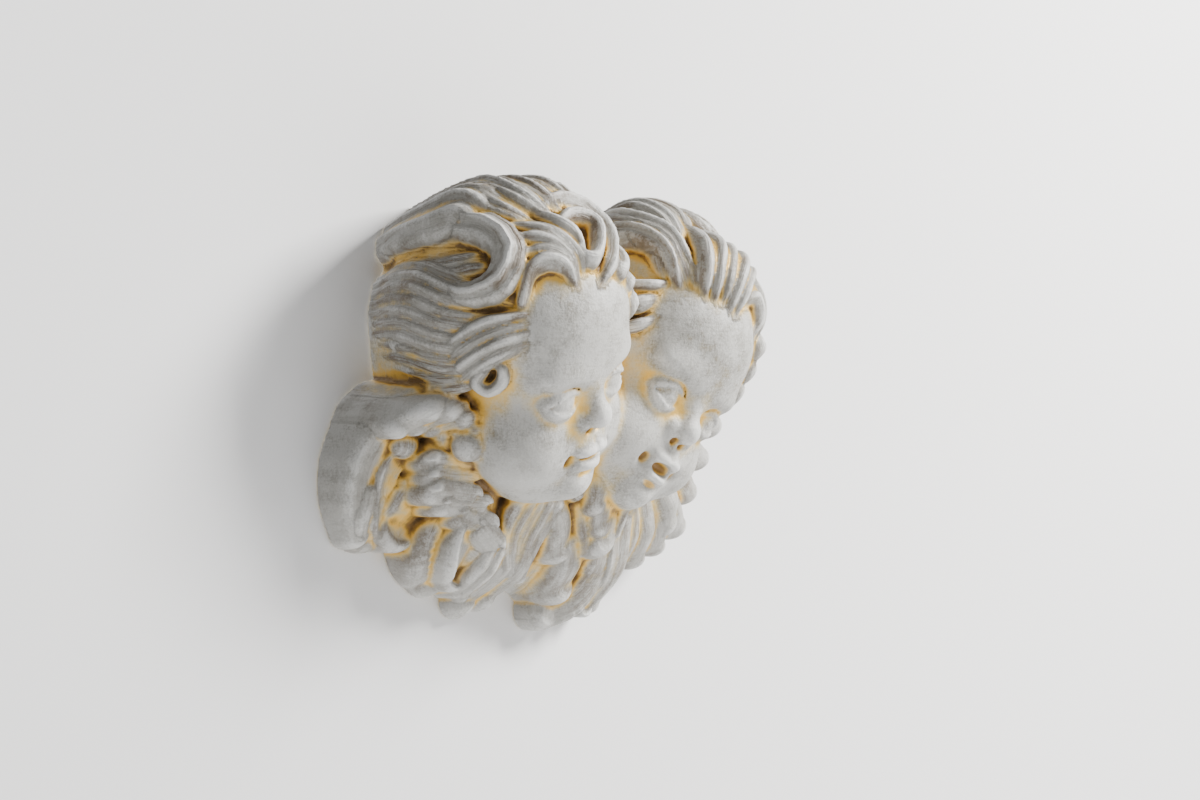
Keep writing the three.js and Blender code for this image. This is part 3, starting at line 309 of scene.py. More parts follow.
# a feather in relief: a strip along a path of x, z and depth of its crest, in shares from an origin
def feather(origin, path, width, dome=0.5, tilt=0.0, rim=0.0, taper=0.0, end=0.85, flare=0.04, round=0.45):
    steps = 12
    places = np.array(catmull(path, steps)) * headHeight + [origin[0], origin[2], 0]
    grow = (width * 0.8 + 0.04) * headHeight
    low, high = places[:, :2].min(0) - grow, places[:, :2].max(0) + grow
    top = places[:, 2].max() + 0.06 * headHeight
    full = 0.5 * width * headHeight
    length = np.linalg.norm(np.diff(places, axis=0), axis=1).sum()

    def nearest(px, pz):
        shape = np.broadcast_shapes(px.shape, pz.shape)
        best = np.full(shape, 1e12, np.float32)
        s = np.zeros(shape, np.float32)
        crest = np.zeros(shape, np.float32)
        side = np.ones(shape, np.float32)
        for i in range(steps):
            (ax, az, ad), (bx, bz, bd) = places[i], places[i + 1]
            dx, dz = bx - ax, bz - az
            t = np.clip(((px - ax) * dx + (pz - az) * dz) / (dx * dx + dz * dz), 0, 1)
            qx, qz = px - ax - t * dx, pz - az - t * dz
            far = qx * qx + qz * qz
            near = far < best
            best = np.where(near, far, best)
            s = np.where(near, (i + t) / steps, s)
            crest = np.where(near, ad + t * (bd - ad), crest)
            side = np.where(near, np.where(qz * dx - qx * dz < 0, 1.0, -1.0), side)
        return np.sqrt(best), s, crest, side

    def distance(px, y, pz):
        offset, s, crest, side = nearest(px, pz)
        half = full * (1 - taper * (1 - s) ** 2) * (1 - (1 - end) * s**4)
        r = offset / half
        rise = crest - dome * full * np.minimum(1.6, r * r) + tilt * full * side * np.minimum(1.1, r)
        rise = rise + rim * full * np.exp(-(((r - 0.78) / 0.2) ** 2))
        outline = offset - half - flare * (crest + y)
        return softMax(outline, (-y - rise) * 0.9, round * full).astype(np.float32)

    def strand(px, y, pz):
        offset, s, _, side = nearest(px, pz)
        return offset * side, s * length
    box = (low[0], -top, low[1]), (high[0], wallOverlap, high[1])
    return dict(box=box, distance=distance, strand=strand)


def ball(origin, centre, radii):
    c = np.array([centre[0], -centre[2], centre[1]]) * headHeight + origin
    r = np.array(radii) * headHeight

    def distance(x, y, z):
        return ellipsoid(x, y, z, c, r).astype(np.float32)
    return dict(box=(c - r - 6, c + r + 6), distance=distance, strand=lambda x, y, z: (x, z))


# one form, or a row of feathers that change evenly from the first path to the last
def carved(origin, count=1, last=None, lastWidth=None, **shape):
    if "radii" in shape:
        return [ball(origin, **shape)]
    first = np.array(shape.pop("path"))
    last = first if last is None else np.array(last)
    width = shape.pop("width")
    steps = [i / max(1, count - 1) for i in range(count)]
    return [feather(origin, lerp(first, last, t), lerp(width, lastWidth or width, t), **shape) for t in steps]


# yaw, pitch and roll in degrees, parted is how far the lips are open
heads = dict(
    left=Head(
        (headsAside - headSpacing / 2, -headStandOff, 0.185 * headHeight),
        yaw=8, pitch=18, roll=-16, parted=0.2,
    ),
    right=Head(
        (headsAside + headSpacing / 2, -headStandOff, 0.125 * headHeight),
        yaw=-3, pitch=22, roll=24, parted=1.0,
    ),
)


leftWing = [
    # the ground under it
    dict(
        path=[[-0.24, -0.12, 0.2], [-0.35, -0.22, 0.13], [-0.38, -0.33, 0.08]],
        width=0.34, dome=0.1, round=0.3,
    ),
    dict(path=[[-0.16, -0.28, 0.23], [-0.23, -0.35, 0.12]], width=0.3, dome=0.2, round=0.4),
    dict(
        path=[[-0.12, -0.15, 0.34], [-0.08, -0.3, 0.31], [-0.02, -0.42, 0.26]],
        width=0.3, dome=0.3, round=0.6,
    ),
    # the arm: from the scroll beside the cheek over the shoulder, down to two tips
    dict(
        path=[
            [-0.21, -0.05, 0.4], [-0.275, 0, 0.37], [-0.345, 0, 0.29], [-0.41, -0.055, 0.215],
            [-0.485, -0.18, 0.165], [-0.49, -0.29, 0.14], [-0.45, -0.4, 0.1],
        ],
        width=0.13, dome=0.35, rim=0.1, round=0.45,
    ),
    dict(
        path=[
            [-0.29, -0.045, 0.32], [-0.345, -0.065, 0.25], [-0.39, -0.13, 0.195], [-0.42, -0.22, 0.165],
            [-0.42, -0.31, 0.14],
        ],
        width=0.07, dome=0.75, taper=0.2, end=0.7, round=0.3,
    ),
    dict(path=[[-0.46, -0.27, 0.16], [-0.47, -0.35, 0.14], [-0.44, -0.41, 0.1]], width=0.085, dome=0.6),
    dict(path=[[-0.41, -0.3, 0.15], [-0.42, -0.36, 0.13], [-0.395, -0.41, 0.09]], width=0.06, dome=0.6),
    # barbs that curl over the scroll, and the lumps in it
    dict(path=[[-0.45, -0.06, 0.29], [-0.415, -0.015, 0.375], [-0.36, 0.01, 0.375]], width=0.07, dome=0.6),
    dict(path=[[-0.39, -0.055, 0.31], [-0.35, -0.015, 0.4], [-0.285, 0.005, 0.4]], width=0.07, dome=0.6),
    dict(path=[[-0.335, -0.06, 0.325], [-0.3, -0.035, 0.41], [-0.24, -0.03, 0.41]], width=0.07, dome=0.6),
    dict(path=[[-0.29, -0.085, 0.33], [-0.265, -0.07, 0.41], [-0.215, -0.08, 0.41]], width=0.07, dome=0.6),
    dict(path=[[-0.28, -0.11, 0.33], [-0.265, -0.105, 0.4], [-0.23, -0.125, 0.4]], width=0.075, dome=0.6),
    dict(centre=[-0.24, -0.12, 0.36], radii=[0.055, 0.06, 0.055]),
    dict(centre=[-0.37, -0.115, 0.2], radii=[0.055, 0.05, 0.05]),
    dict(centre=[-0.26, -0.14, 0.25], radii=[0.08, 0.07, 0.055]),
    # the strip inside the arm, the broad panel and the small feather on it
    dict(
        path=[[-0.35, -0.12, 0.2], [-0.405, -0.22, 0.165], [-0.395, -0.33, 0.13], [-0.36, -0.41, 0.09]],
        width=0.09, dome=-0.15, rim=0.15, taper=0.2, end=0.6, round=0.3,
    ),
    dict(
        path=[[-0.22, -0.22, 0.24], [-0.27, -0.31, 0.185], [-0.29, -0.38, 0.12]],
        width=0.23, dome=0.1, rim=0.1, taper=0.2, round=0.2,
    ),
    dict(path=[[-0.29, -0.225, 0.25], [-0.34, -0.24, 0.205]], width=0.07, end=0.7),
    # scales stepping down to the chin
    dict(
        count=3,
        path=[[-0.32, -0.175, 0.31], [-0.21, -0.19, 0.345]],
        last=[[-0.3, -0.27, 0.31], [-0.18, -0.285, 0.34]],
        width=0.075, lastWidth=0.083, dome=0.45, tilt=-0.45, rim=0.08, end=0.9, round=0.3,
    ),
    dict(
        count=3,
        path=[[-0.245, -0.31, 0.305], [-0.12, -0.32, 0.335]],
        last=[[-0.09, -0.4, 0.305], [-0.01, -0.455, 0.29]],
        width=0.087, lastWidth=0.095, dome=0.45, tilt=-0.45, rim=0.08, end=0.9, round=0.3,
    ),
    # a round lobe with a disc on it, two folds, and two lobes beside them
    dict(
        path=[[-0.13, -0.37, 0.25], [-0.135, -0.46, 0.18], [-0.07, -0.545, 0.09]],
        width=0.24, dome=0.35, rim=0.06, taper=0.2, round=0.35,
    ),
    dict(
        path=[[-0.11, -0.39, 0.275], [-0.105, -0.475, 0.235], [-0.045, -0.555, 0.14]],
        width=0.16, dome=0.1, rim=0.2, taper=0.1, round=0.25,
    ),
    dict(
        count=2, path=[[-0.01, -0.46, 0.28], [-0.02, -0.55, 0.235], [0.01, -0.625, 0.12]],
        last=[[0.03, -0.49, 0.28], [0.02, -0.57, 0.235], [0.045, -0.645, 0.11]], width=0.058, dome=0.6,
    ),
    dict(
        path=[[0.11, -0.46, 0.28], [0.095, -0.57, 0.215], [0.085, -0.665, 0.09]],
        width=0.17, dome=0.45, end=0.75, round=0.5,
    ),
    dict(path=[[0.17, -0.45, 0.3], [0.19, -0.56, 0.235], [0.17, -0.655, 0.11]], width=0.13),
    # strands that fall from the chin
    dict(
        count=5, path=[[0.04, -0.32, 0.36], [0.04, -0.42, 0.3], [0.11, -0.55, 0.24]],
        last=[[0.21, -0.34, 0.38], [0.195, -0.46, 0.31], [0.27, -0.6, 0.17]],
        width=0.06, dome=0.55, end=0.7,
    ),
]

middleWing = [
    # the ground where it meets the left wing
    dict(centre=[-0.22, -0.27, 0.02], radii=[0.08, 0.08, 0.09]),
    # the ground under it
    dict(
        path=[[0, -0.3, 0.34], [0.12, -0.45, 0.27], [0.22, -0.62, 0.12]],
        width=0.42, dome=0.35, taper=0.1, end=0.7,
    ),
    # two long outer strips, and the big feather that bends round under the others
    dict(path=[[0.32, -0.42, 0.34], [0.41, -0.6, 0.24], [0.42, -0.73, 0.12]], width=0.1),
    dict(
        path=[[0.27, -0.44, 0.33], [0.35, -0.62, 0.235], [0.34, -0.74, 0.13]],
        width=0.08, dome=-0.1, rim=0.1, round=0.25,
    ),
    dict(
        path=[[0.21, -0.46, 0.33], [0.27, -0.6, 0.25], [0.235, -0.7, 0.18], [0.165, -0.735, 0.12]],
        width=0.14, dome=0.4, rim=0.08, end=1,
    ),
    dict(path=[[0.26, -0.68, 0.17], [0.17, -0.745, 0.12]], width=0.11, dome=0.6, end=1),
    # three short feathers over it
    dict(
        path=[[0.06, -0.46, 0.32], [0.11, -0.57, 0.265], [0.14, -0.645, 0.2]],
        width=0.15, dome=0.35, rim=0.08,
    ),
    dict(
        path=[[-0.1, -0.33, 0.37], [-0.04, -0.42, 0.35], [0.01, -0.49, 0.305]],
        width=0.13, dome=0.35, end=0.95,
    ),
    dict(path=[[0.01, -0.34, 0.38], [0.07, -0.44, 0.355], [0.12, -0.51, 0.32]], width=0.06, dome=0.7),
    # scoops nested under the chins, and the fold beside them
    dict(
        path=[[0.09, -0.3, 0.4], [0.15, -0.39, 0.385], [0.17, -0.46, 0.36]],
        width=0.17, dome=0.35, rim=0.06, end=0.95,
    ),
    dict(
        path=[[0.07, -0.27, 0.425], [0.1, -0.36, 0.415], [0.12, -0.41, 0.39]],
        width=0.13, dome=0.4, rim=0.06, end=0.95,
    ),
    dict(
        path=[[0.02, -0.22, 0.44], [0.04, -0.29, 0.445], [0.05, -0.335, 0.43]],
        width=0.1, dome=0.45, end=0.95,
    ),
    dict(path=[[-0.05, -0.23, 0.43], [-0.03, -0.3, 0.41]], width=0.08, dome=0.6),
    dict(
        path=[[0.1, -0.2, 0.43], [0.17, -0.29, 0.43], [0.23, -0.39, 0.4], [0.24, -0.46, 0.36]],
        width=0.045, dome=0.7,
    ),
]

rightWing = [
    # the ground under it
    dict(
        path=[[0.03, -0.25, 0.3], [0.27, -0.26, 0.22], [0.56, -0.12, 0.14]],
        width=0.42, dome=0.3, taper=0.1, end=0.75,
    ),
    dict(path=[[0.01, -0.3, 0.33], [0.19, -0.45, 0.2]], width=0.3, dome=0.3, taper=0.1, end=0.75),
    # long feathers, fanned from below the chin out to the side, and shorter ones over them
    dict(
        count=3, path=[[0.03, -0.36, 0.35], [0.15, -0.5, 0.26], [0.23, -0.62, 0.13]],
        last=[[0.19, -0.34, 0.33], [0.35, -0.46, 0.25], [0.46, -0.55, 0.15]],
        width=0.12, dome=0.55, taper=0.1, end=0.75,
    ),
    dict(
        count=5, path=[[0.23, -0.3, 0.31], [0.41, -0.41, 0.25], [0.54, -0.48, 0.18]],
        last=[[0.31, 0.02, 0.33], [0.57, 0.03, 0.28], [0.81, 0, 0.2]],
        width=0.14, lastWidth=0.13, taper=0.1, end=0.75,
    ),
    dict(
        count=4, path=[[0.21, -0.31, 0.35], [0.3, -0.38, 0.32], [0.37, -0.45, 0.26]],
        last=[[0.23, 0.05, 0.37], [0.41, 0.06, 0.34], [0.57, 0.04, 0.27]],
        width=0.13, lastWidth=0.12, end=0.9,
    ),
    # the arm along the top
    dict(
        path=[
            [0.23, 0.02, 0.36], [0.39, 0.09, 0.35], [0.56, 0.11, 0.31], [0.73, 0.08, 0.25],
            [0.83, 0.02, 0.19],
        ],
        width=0.13,
    ),
]

# locks of hair, as [around, back] degrees on the skull
leftHair = [
    # from the crown forwards over the top
    dict(path=[[-30, 118], [-24, 100], [-26, 84]], width=0.26, thick=0.14, lift=0.03, fromWall=True),
    dict(
        count=5,
        path=[[-10, 118], [-20, 88], [-14, 64]],
        last=[[34, 110], [32, 86], [28, 60]],
        width=0.12, thick=0.1, lift=0.03, fromWall=True,
    ),
    dict(
        count=6,
        path=[[44, 112], [46, 80], [40, 54]],
        last=[[112, 112], [100, 80], [92, 60]],
        width=0.12, thick=0.1, lift=0.02, fromWall=True,
    ),
    # the wave that rolls round a hollow at the side, the strands in the hollow and those behind it
    dict(
        path=[[-43, 120], [-34, 88], [-39, 68], [-55, 65], [-66, 78], [-64, 98]],
        width=0.11, thick=0.12, lift=0.04, fromWall=True,
    ),
    dict(
        count=3,
        path=[[-60, 110], [-52, 93], [-43, 79]],
        last=[[-62, 98], [-55, 84], [-48, 74]],
        width=0.05, thick=0.05, lift=0,
    ),
    dict(
        count=5,
        path=[[-66, 112], [-66, 84], [-60, 57]],
        last=[[-116, 110], [-109, 82], [-103, 62]],
        width=0.13, thick=0.08, lift=0.015, fromWall=True,
    ),
    # strands at the temple and the swirl before the ear
    dict(
        count=4,
        path=[[-66, 50], [-75, 64], [-86, 76], [-98, 84]],
        last=[[-84, 46], [-90, 56], [-101, 68], [-113, 78]],
        width=0.055, thick=0.07, lift=0.03,
    ),
    dict(
        path=[[-88, 50], [-96, 60], [-106, 66], [-111, 61], [-105, 54], [-97, 55], [-99, 61]],
        width=0.05, thick=0.07, lift=0.03,
    ),
    # arcs over the forehead, the big curl in the middle and small ones on the far side
    dict(
        count=4, path=[[-57, 52], [-42, 55], [-31, 51], [-25, 43], [-27, 33]],
        last=[[-34, 84], [-24, 71], [-18, 59], [-16, 48], [-19, 36]], width=0.06, thick=0.08, lift=0.03,
    ),
    dict(
        count=2,
        path=[[-18, 72], [-15, 57], [-12, 45], [-13, 35]],
        last=[[-10, 74], [-8, 60], [-4, 50], [-9, 38]],
        width=0.06, thick=0.08, lift=0.03,
    ),
    dict(
        path=[[-6, 72], [14, 75], [31, 67], [34, 50], [18, 34], [0, 27]],
        width=0.08, thick=0.1, lift=0.035,
    ),
    dict(
        path=[[-6, 60], [10, 63], [22, 56], [13, 44], [-3, 38], [-9, 43], [-1, 47]],
        width=0.055, thick=0.09, lift=0.03,
    ),
    dict(
        count=3,
        path=[[40, 58], [48, 44], [34, 34], [26, 42]],
        last=[[84, 60], [92, 48], [78, 38], [70, 46]],
        width=0.07, thick=0.08, lift=0.025,
    ),
]

rightHair = [
    # waves from the crown forwards to the parting
    dict(
        count=2,
        path=[[-40, 132], [-26, 116], [-18, 98], [-26, 76]],
        last=[[-43, 128], [-32, 112], [-34, 88], [-38, 68]],
        width=0.13, thick=0.1, lift=0.03,
    ),
    dict(
        count=3,
        path=[[-46, 132], [-50, 98], [-45, 73], [-50, 44]],
        last=[[-66, 114], [-58, 90], [-54, 70], [-60, 50]],
        width=0.085, thick=0.1, lift=0.035,
    ),
    # the curl at the near temple
    dict(path=[[-76, 94], [-64, 90], [-57, 78], [-64, 58]], width=0.06, thick=0.08, lift=0.03),
    dict(path=[[-82, 82], [-82, 70], [-74, 60], [-64, 55]], width=0.05, thick=0.07, lift=0.03),
    dict(
        count=2, path=[[-94, 72], [-87, 60], [-76, 54]], last=[[-104, 64], [-96, 54], [-86, 48]],
        width=0.06, thick=0.07, lift=0.03,
    ),
    # strands combed down on the forehead, and the curls at its far side
    dict(
        count=5,
        path=[[-24, 80], [-31, 62], [-40, 50], [-49, 38]],
        last=[[22, 66], [14, 56], [-6, 38], [-20, 24]],
        width=0.075, thick=0.09, lift=0.035,
    ),
    dict(
        count=3,
        path=[[0, 50], [22, 56], [40, 50], [52, 38]],
        last=[[-2, 34], [18, 42], [32, 38], [42, 28]],
        width=0.065, thick=0.08, lift=0.03,
    ),
    # the far side and the back
    dict(
        count=8,
        path=[[-12, 118], [0, 92], [14, 74]],
        last=[[112, 112], [98, 80], [92, 58]],
        width=0.12, thick=0.1, lift=0.025, fromWall=True,
    ),
    dict(
        count=3,
        path=[[56, 60], [66, 48], [56, 38], [46, 44]],
        last=[[96, 60], [104, 48], [92, 40], [84, 48]],
        width=0.07, thick=0.08, lift=0.03,
    ),
    dict(
        count=3, path=[[-96, 80], [-100, 100], [-104, 125]], last=[[-116, 66], [-118, 90], [-120, 120]],
        width=0.12, thick=0.08, lift=0.012,
    ),
]


# one lock, or a row that changes evenly from the first path to the last; fromWall starts each at the wall
def locks(head, path, width, thick, lift, count=1, last=None, fromWall=False):
    drawnIn = np.array([0.72, 0, 0.86])       # how far out from the head's centre a lock leaves the wall
    made = []
    for i in range(count):
        t = i / max(1, count - 1)
        points = []
        for j, (a, b) in enumerate(zip(path, last or path)):
            rise = lift * sin(pi * (0.1 + 0.8 * j / (len(path) - 1)))
            points.append(head.onSkull(lerp(a[0], b[0], t), lerp(a[1], b[1], t), rise))
        if fromWall:
            points.insert(0, lerp(head.centre, points[0], drawnIn) * [1, 0, 1])
        strands = 1 + (width > 0.075) + (width > 0.115)
        made.append(lock(points, head.centre, width * headHeight, thick * headHeight, strands))
    return made


# a mass that carries what stands off the wall
def mass(across, depth, height, size):
    c = np.array([across, -depth * headHeight, height * headHeight])
    r = np.array(size) * headHeight
    reach = r + 0.06 * headHeight

    def distance(x, y, z):
        return softMax(ellipsoid(x, y, z, c, r), y - wallOverlap, 1).astype(np.float32)
    return dict(box=(c - reach, c + reach), distance=distance)


def foot(head):
    return np.array([head.centre[0], 0, 0])


def combed(x, y, z):
    # mm over which locks melt together: little near the face, more towards the wall, in patches
    patch = np.sin(x / 8.5 + z / 19 + 1) * np.sin(z / 7.5 - y / 15) * np.cos(y / 9 + x / 23)
    return 0.9 + 3.4 * np.clip((y + 60) / 38, 0, 1) * (0.75 + 0.6 * patch) + np.maximum(0, patch)


def modelled(step):
    left, right = heads["left"], heads["right"]
    masses = [
        mass(left.centre[0], 0, 0.2, (0.3, 0.34, 0.41)),
        mass(left.centre[0], 0.17, 0.195, (0.345, 0.26, 0.385)),
        mass(right.centre[0], 0, 0.13, (0.33, 0.34, 0.43)),
        mass(right.centre[0], 0.17, 0.13, (0.345, 0.26, 0.38)),
        mass(headsAside, 0, 0.092, (0.385, 0.277, 0.43)),
    ]
    middle = np.array([headsAside, 0, 0])
    wings, hair = [], []
    for origin, shapes in ((foot(left), leftWing), (middle, middleWing), (foot(right), rightWing)):
        for shape in shapes:
            wings.extend(carved(origin, **shape))
    for head, shapes in ((left, leftHair), (right, rightHair)):
        for shape in shapes:
            hair.extend(locks(head, **shape))
    skulls = [form for head in heads.values() for form in (head.form(), head.scalp())]
    everything = masses + wings + skulls + hair
    low = np.min([form["box"][0] for form in everything], 0) - 2 * step
    high = np.max([form["box"][1] for form in everything], 0) + 2 * step
    high[1] = wallOverlap + 2 * step
    clay = Clay(low, high, step)
    for forms, soft, lively in ((masses, 8, 0), (wings, 0.8, 0.25), (skulls, 2.5, 0), (hair, combed, 0.6)):
        for number, form in enumerate(forms):
            clay.add(form, soft, lively, number)
    return clay, wings, hair


def skinned(values, low, step):
    # one vertex in each cell that the surface passes, one four-sided face round each edge that it cuts
    inside = values < 0
    cells = tuple(n - 1 for n in values.shape)
    hits = np.zeros(cells, np.int16)
    total = np.zeros(cells + (3,), np.float32)
    for axis in range(3):
        others = [a for a in range(3) if a != axis]
        first, second = [slice(None)] * 3, [slice(None)] * 3
        first[axis], second[axis] = slice(0, -1), slice(1, None)
        a, b = values[tuple(first)], values[tuple(second)]
        cut = (a < 0) != (b < 0)
        t = np.where(cut, a / np.where(cut, a - b, 1), 0)
        for i in (0, 1):
            for j in (0, 1):
                part = [slice(None)] * 3
                part[others[0]] = slice(i, cells[others[0]] + i)
                part[others[1]] = slice(j, cells[others[1]] + j)
                c = cut[tuple(part)]
                hits += c
                total[..., axis] += np.where(c, t[tuple(part)], 0)
                total[..., others[0]] += np.where(c, i, 0)
                total[..., others[1]] += np.where(c, j, 0)
    live = hits > 0
    number = np.full(cells, -1)
    places = np.argwhere(live)
    number[live] = np.arange(len(places))
    points = low + step * (places + total[live] / hits[live][:, None])
    faces = []
    for axis in range(3):
        u, v = (axis + 1) % 3, (axis + 2) % 3
        first, second = [slice(None)] * 3, [slice(None)] * 3
        first[axis], second[axis] = slice(0, -1), slice(1, None)
        a, b = inside[tuple(first)], inside[tuple(second)]
        edge = np.argwhere(a != b)
        edge = edge[(edge[:, u] > 0) & (edge[:, v] > 0)]
        edge = edge[(edge[:, u] < values.shape[u] - 1) & (edge[:, v] < values.shape[v] - 1)]
        outwards = a[tuple(edge.T)]
        ring = []
        for du, dv in ((-1, -1), (0, -1), (0, 0), (-1, 0)):
            c = edge.copy()
            c[:, u] += du
            c[:, v] += dv
            ring.append(number[tuple(c.T)])
        ring = np.stack(ring, 1)
        ring[~outwards] = ring[~outwards][:, ::-1]
        faces.append(ring)
    return points, np.concatenate(faces)


def blurred(field, reach):
    # mean over a cube, twice, the edges carried on
    for axis in (0, 1, 2) * 2:
        pad = [(0, 0)] * 3
        pad[axis] = (reach + 1, reach)
        total = np.cumsum(np.pad(field, pad, mode="edge"), axis=axis, dtype=np.float64)
        n = field.shape[axis]
        a, b = [slice(None)] * 3, [slice(None)] * 3
        a[axis], b[axis] = slice(2 * reach + 1, 2 * reach + 1 + n), slice(0, n)
        field = ((total[tuple(a)] - total[tuple(b)]) / (2 * reach + 1)).astype(np.float32)
    return field


def sampled(field, low, step, points):
    g = np.clip((points - low) / step, 0, np.array(field.shape) - 1.001)
    k = g.astype(int)
    w = g - k
    found = 0
    for i in (0, 1):
        for j in (0, 1):
            for m in (0, 1):
                weight = np.abs(1 - i - w[:, 0]) * np.abs(1 - j - w[:, 1]) * np.abs(1 - m - w[:, 2])
                found = found + weight * field[k[:, 0] + i, k[:, 1] + j, k[:, 2] + m]
    return found


# the plaque: sculpted, sawn flat at the back, thinned where it is smooth
plaqueShape = {
    "grid": 1.15, "triangles": 188000,                              # the grid in mm
    "snap": 0.45, "sawnFacing": 0.98, "sawnDepth": 0.0004,          # cells, a cosine, metres: what is back
    "creases": {"tiny": 1, "fine": 2, "middle": 4, "broad": 10},    # mm round a place
    "nearForm": 1.3, "strandGap": 23, "featherHair": 0.6,           # how a place takes its strands
}
step = plaqueShape["grid"] * 1
clay, wings, hair = modelled(step)
report("clay")

solidShare = np.clip(0.5 - clay.values / step, 0, 1)
ySteps = (clay.low[1] + step * np.arange(clay.count[1])).astype(np.float32)[None, :, None]
clay.values = np.maximum(clay.values, ySteps)                # the saw cut

halfWide, halfHigh, margin = nailPocket["width"] / 2, nailPocket["height"] / 2, 4
nailHeight = nailPocket["rise"] - halfHigh
cells, x, y, z = clay.box(
    (hangingLine - halfWide - margin, -nailPocket["depth"] - margin, nailHeight - halfHigh - margin),
    (hangingLine + halfWide + margin, margin, nailHeight + halfHigh + margin),
)
pocket = np.maximum(np.abs(x - hangingLine) - halfWide, -y - nailPocket["depth"])
pocket = np.maximum(pocket, np.abs(z - nailHeight) - halfHigh)
clay.values[cells] = np.maximum(clay.values[cells], -pocket)
points, faces = skinned(clay.values, clay.low, step)
points[:, 1] = np.where(points[:, 1] > -plaqueShape["snap"] * step, 0, points[:, 1])
report("skin of %d faces" % len(faces))

mesh = bpy.data.meshes.new("cherub_plaque")
mesh.vertices.add(len(points))
mesh.vertices.foreach_set("co", ((points - [hangingLine, 0, 0]) / 1000).astype(np.float32).ravel())
mesh.loops.add(4 * len(faces))
mesh.loops.foreach_set("vertex_index", faces.astype(np.int32).ravel())
mesh.polygons.add(len(faces))
mesh.polygons.foreach_set("loop_start", np.arange(0, 4 * len(faces), 4, dtype=np.int32))
mesh.update(calc_edges=True)
mesh.validate()
plaque = bpy.data.objects.new("cherub_plaque", mesh)
bpy.context.collection.objects.link(plaque)
bpy.ops.object.select_all(action="DESELECT")
bpy.context.view_layer.objects.active = plaque
plaque.select_set(True)

# loose crumbs go, the largest body stays
bpy.ops.object.mode_set(mode="EDIT")
bpy.ops.mesh.select_all(action="SELECT")
bpy.ops.mesh.separate(type="LOOSE")
bpy.ops.object.mode_set(mode="OBJECT")
bodies = sorted(bpy.context.selected_objects, key=lambda thing: -len(thing.data.polygons))
plaque = bodies[0]
plaque.name = plaque.data.name = "cherub_plaque"
drop(*bodies[1:])
bpy.ops.object.select_all(action="DESELECT")
bpy.context.view_layer.objects.active = plaque
plaque.select_set(True)
print("crumbs dropped:", len(bodies) - 1)

triangles = 2 * len(plaque.data.polygons)
if triangles > plaqueShape["triangles"]:
    thinner = plaque.modifiers.new("thinner", "DECIMATE")
    thinner.ratio = plaqueShape["triangles"] / triangles
    bpy.ops.object.modifier_apply(modifier="thinner")
bpy.ops.object.shade_smooth()

# the sawn face is shaded flat
sawnEdges = set()
for face in plaque.data.polygons:
    if face.normal.y > plaqueShape["sawnFacing"] and face.center.y > -plaqueShape["sawnDepth"]:
        face.use_smooth = False
        sawnEdges.update(face.edge_keys)
for edge in plaque.data.edges:
    edge.use_edge_sharp = edge.key in sawnEdges
report("%d triangles" % sum(len(p.vertices) - 2 for p in plaque.data.polygons))

# what the finish, its painted shade and painted highlights follow: how deep each place sits in its
# surroundings, and which way hair and feathers run
count = len(plaque.data.vertices)
places = np.zeros(3 * count, np.float32)
plaque.data.vertices.foreach_get("co", places)
places = places.reshape(-1, 3) * 1000 + [hangingLine, 0, 0]
for name, reach in plaqueShape["creases"].items():
    depth = sampled(blurred(solidShare, max(1, round(reach / step))), clay.low, step, places)
    plaque.data.attributes.new(name, "FLOAT", "POINT").data.foreach_set("value", depth.astype(np.float32))
strand = places * [0.4, 0, 0.4]            # mm across and along the nearest feather or lock
hairy = np.zeros(count, np.float32)        # 1 on hair, less on feathers, 0 on skin
closest = np.full(count, plaqueShape["nearForm"])
for number, form in enumerate(wings + hair):
    low, high = form["box"]
    inside = np.where(np.all((places > low) & (places < high), axis=1))[0]
    spot = places[inside].T.astype(np.float32)
    off = np.abs(form["distance"](*spot)) if len(inside) else np.zeros(0)
    nearer = off < closest[inside]
    inside, spot = inside[nearer], spot[:, nearer]
    if len(inside):
        closest[inside] = off[nearer]
        aside, onward = form["strand"](*spot)
        strand[inside] = np.stack([aside, onward, np.full(len(inside), plaqueShape["strandGap"] * number)], 1)
        hairy[inside] = plaqueShape["featherHair"] if number < len(wings) else 1
runs = plaque.data.attributes.new("strand", "FLOAT_VECTOR", "POINT")
runs.data.foreach_set("vector", strand.astype(np.float32).ravel())
plaque.data.attributes.new("hairy", "FLOAT", "POINT").data.foreach_set("value", hairy)
report("creases and strands")


# node sockets that can be added, multiplied and so on
class Value:
    def __init__(self, nodes, socket):
        self.nodes, self.socket = nodes, socket

    def math(self, operation, *others, clamp=False):
        node = self.nodes.tree.nodes.new("ShaderNodeMath")
        node.operation = operation
        node.use_clamp = clamp
        for slot, value in zip(node.inputs, (self, *others)):
            self.nodes.feed(slot, value)
        return Value(self.nodes, node.outputs[0])

    def __add__(self, other): return self.math("ADD", other)
    __radd__ = __add__
    def __mul__(self, other): return self.math("MULTIPLY", other)
    __rmul__ = __mul__
    def __sub__(self, other): return self.math("SUBTRACT", other)
    def __rsub__(self, other): return self.math("MULTIPLY", -1) + other
    def clamp(self): return self.math("ADD", 0, clamp=True)
    def most(self, other): return self.math("MAXIMUM", other)

    def ramp(self, start, finish):
        # 0 at start, 1 at finish, smooth between
        node = self.nodes.tree.nodes.new("ShaderNodeMapRange")
        node.interpolation_type = "SMOOTHSTEP"
        flip = float(start > finish)
        for slot, value in zip(node.inputs, (self, min(start, finish), max(start, finish), flip, 1 - flip)):
            self.nodes.feed(slot, value)
        return Value(self.nodes, node.outputs[0])


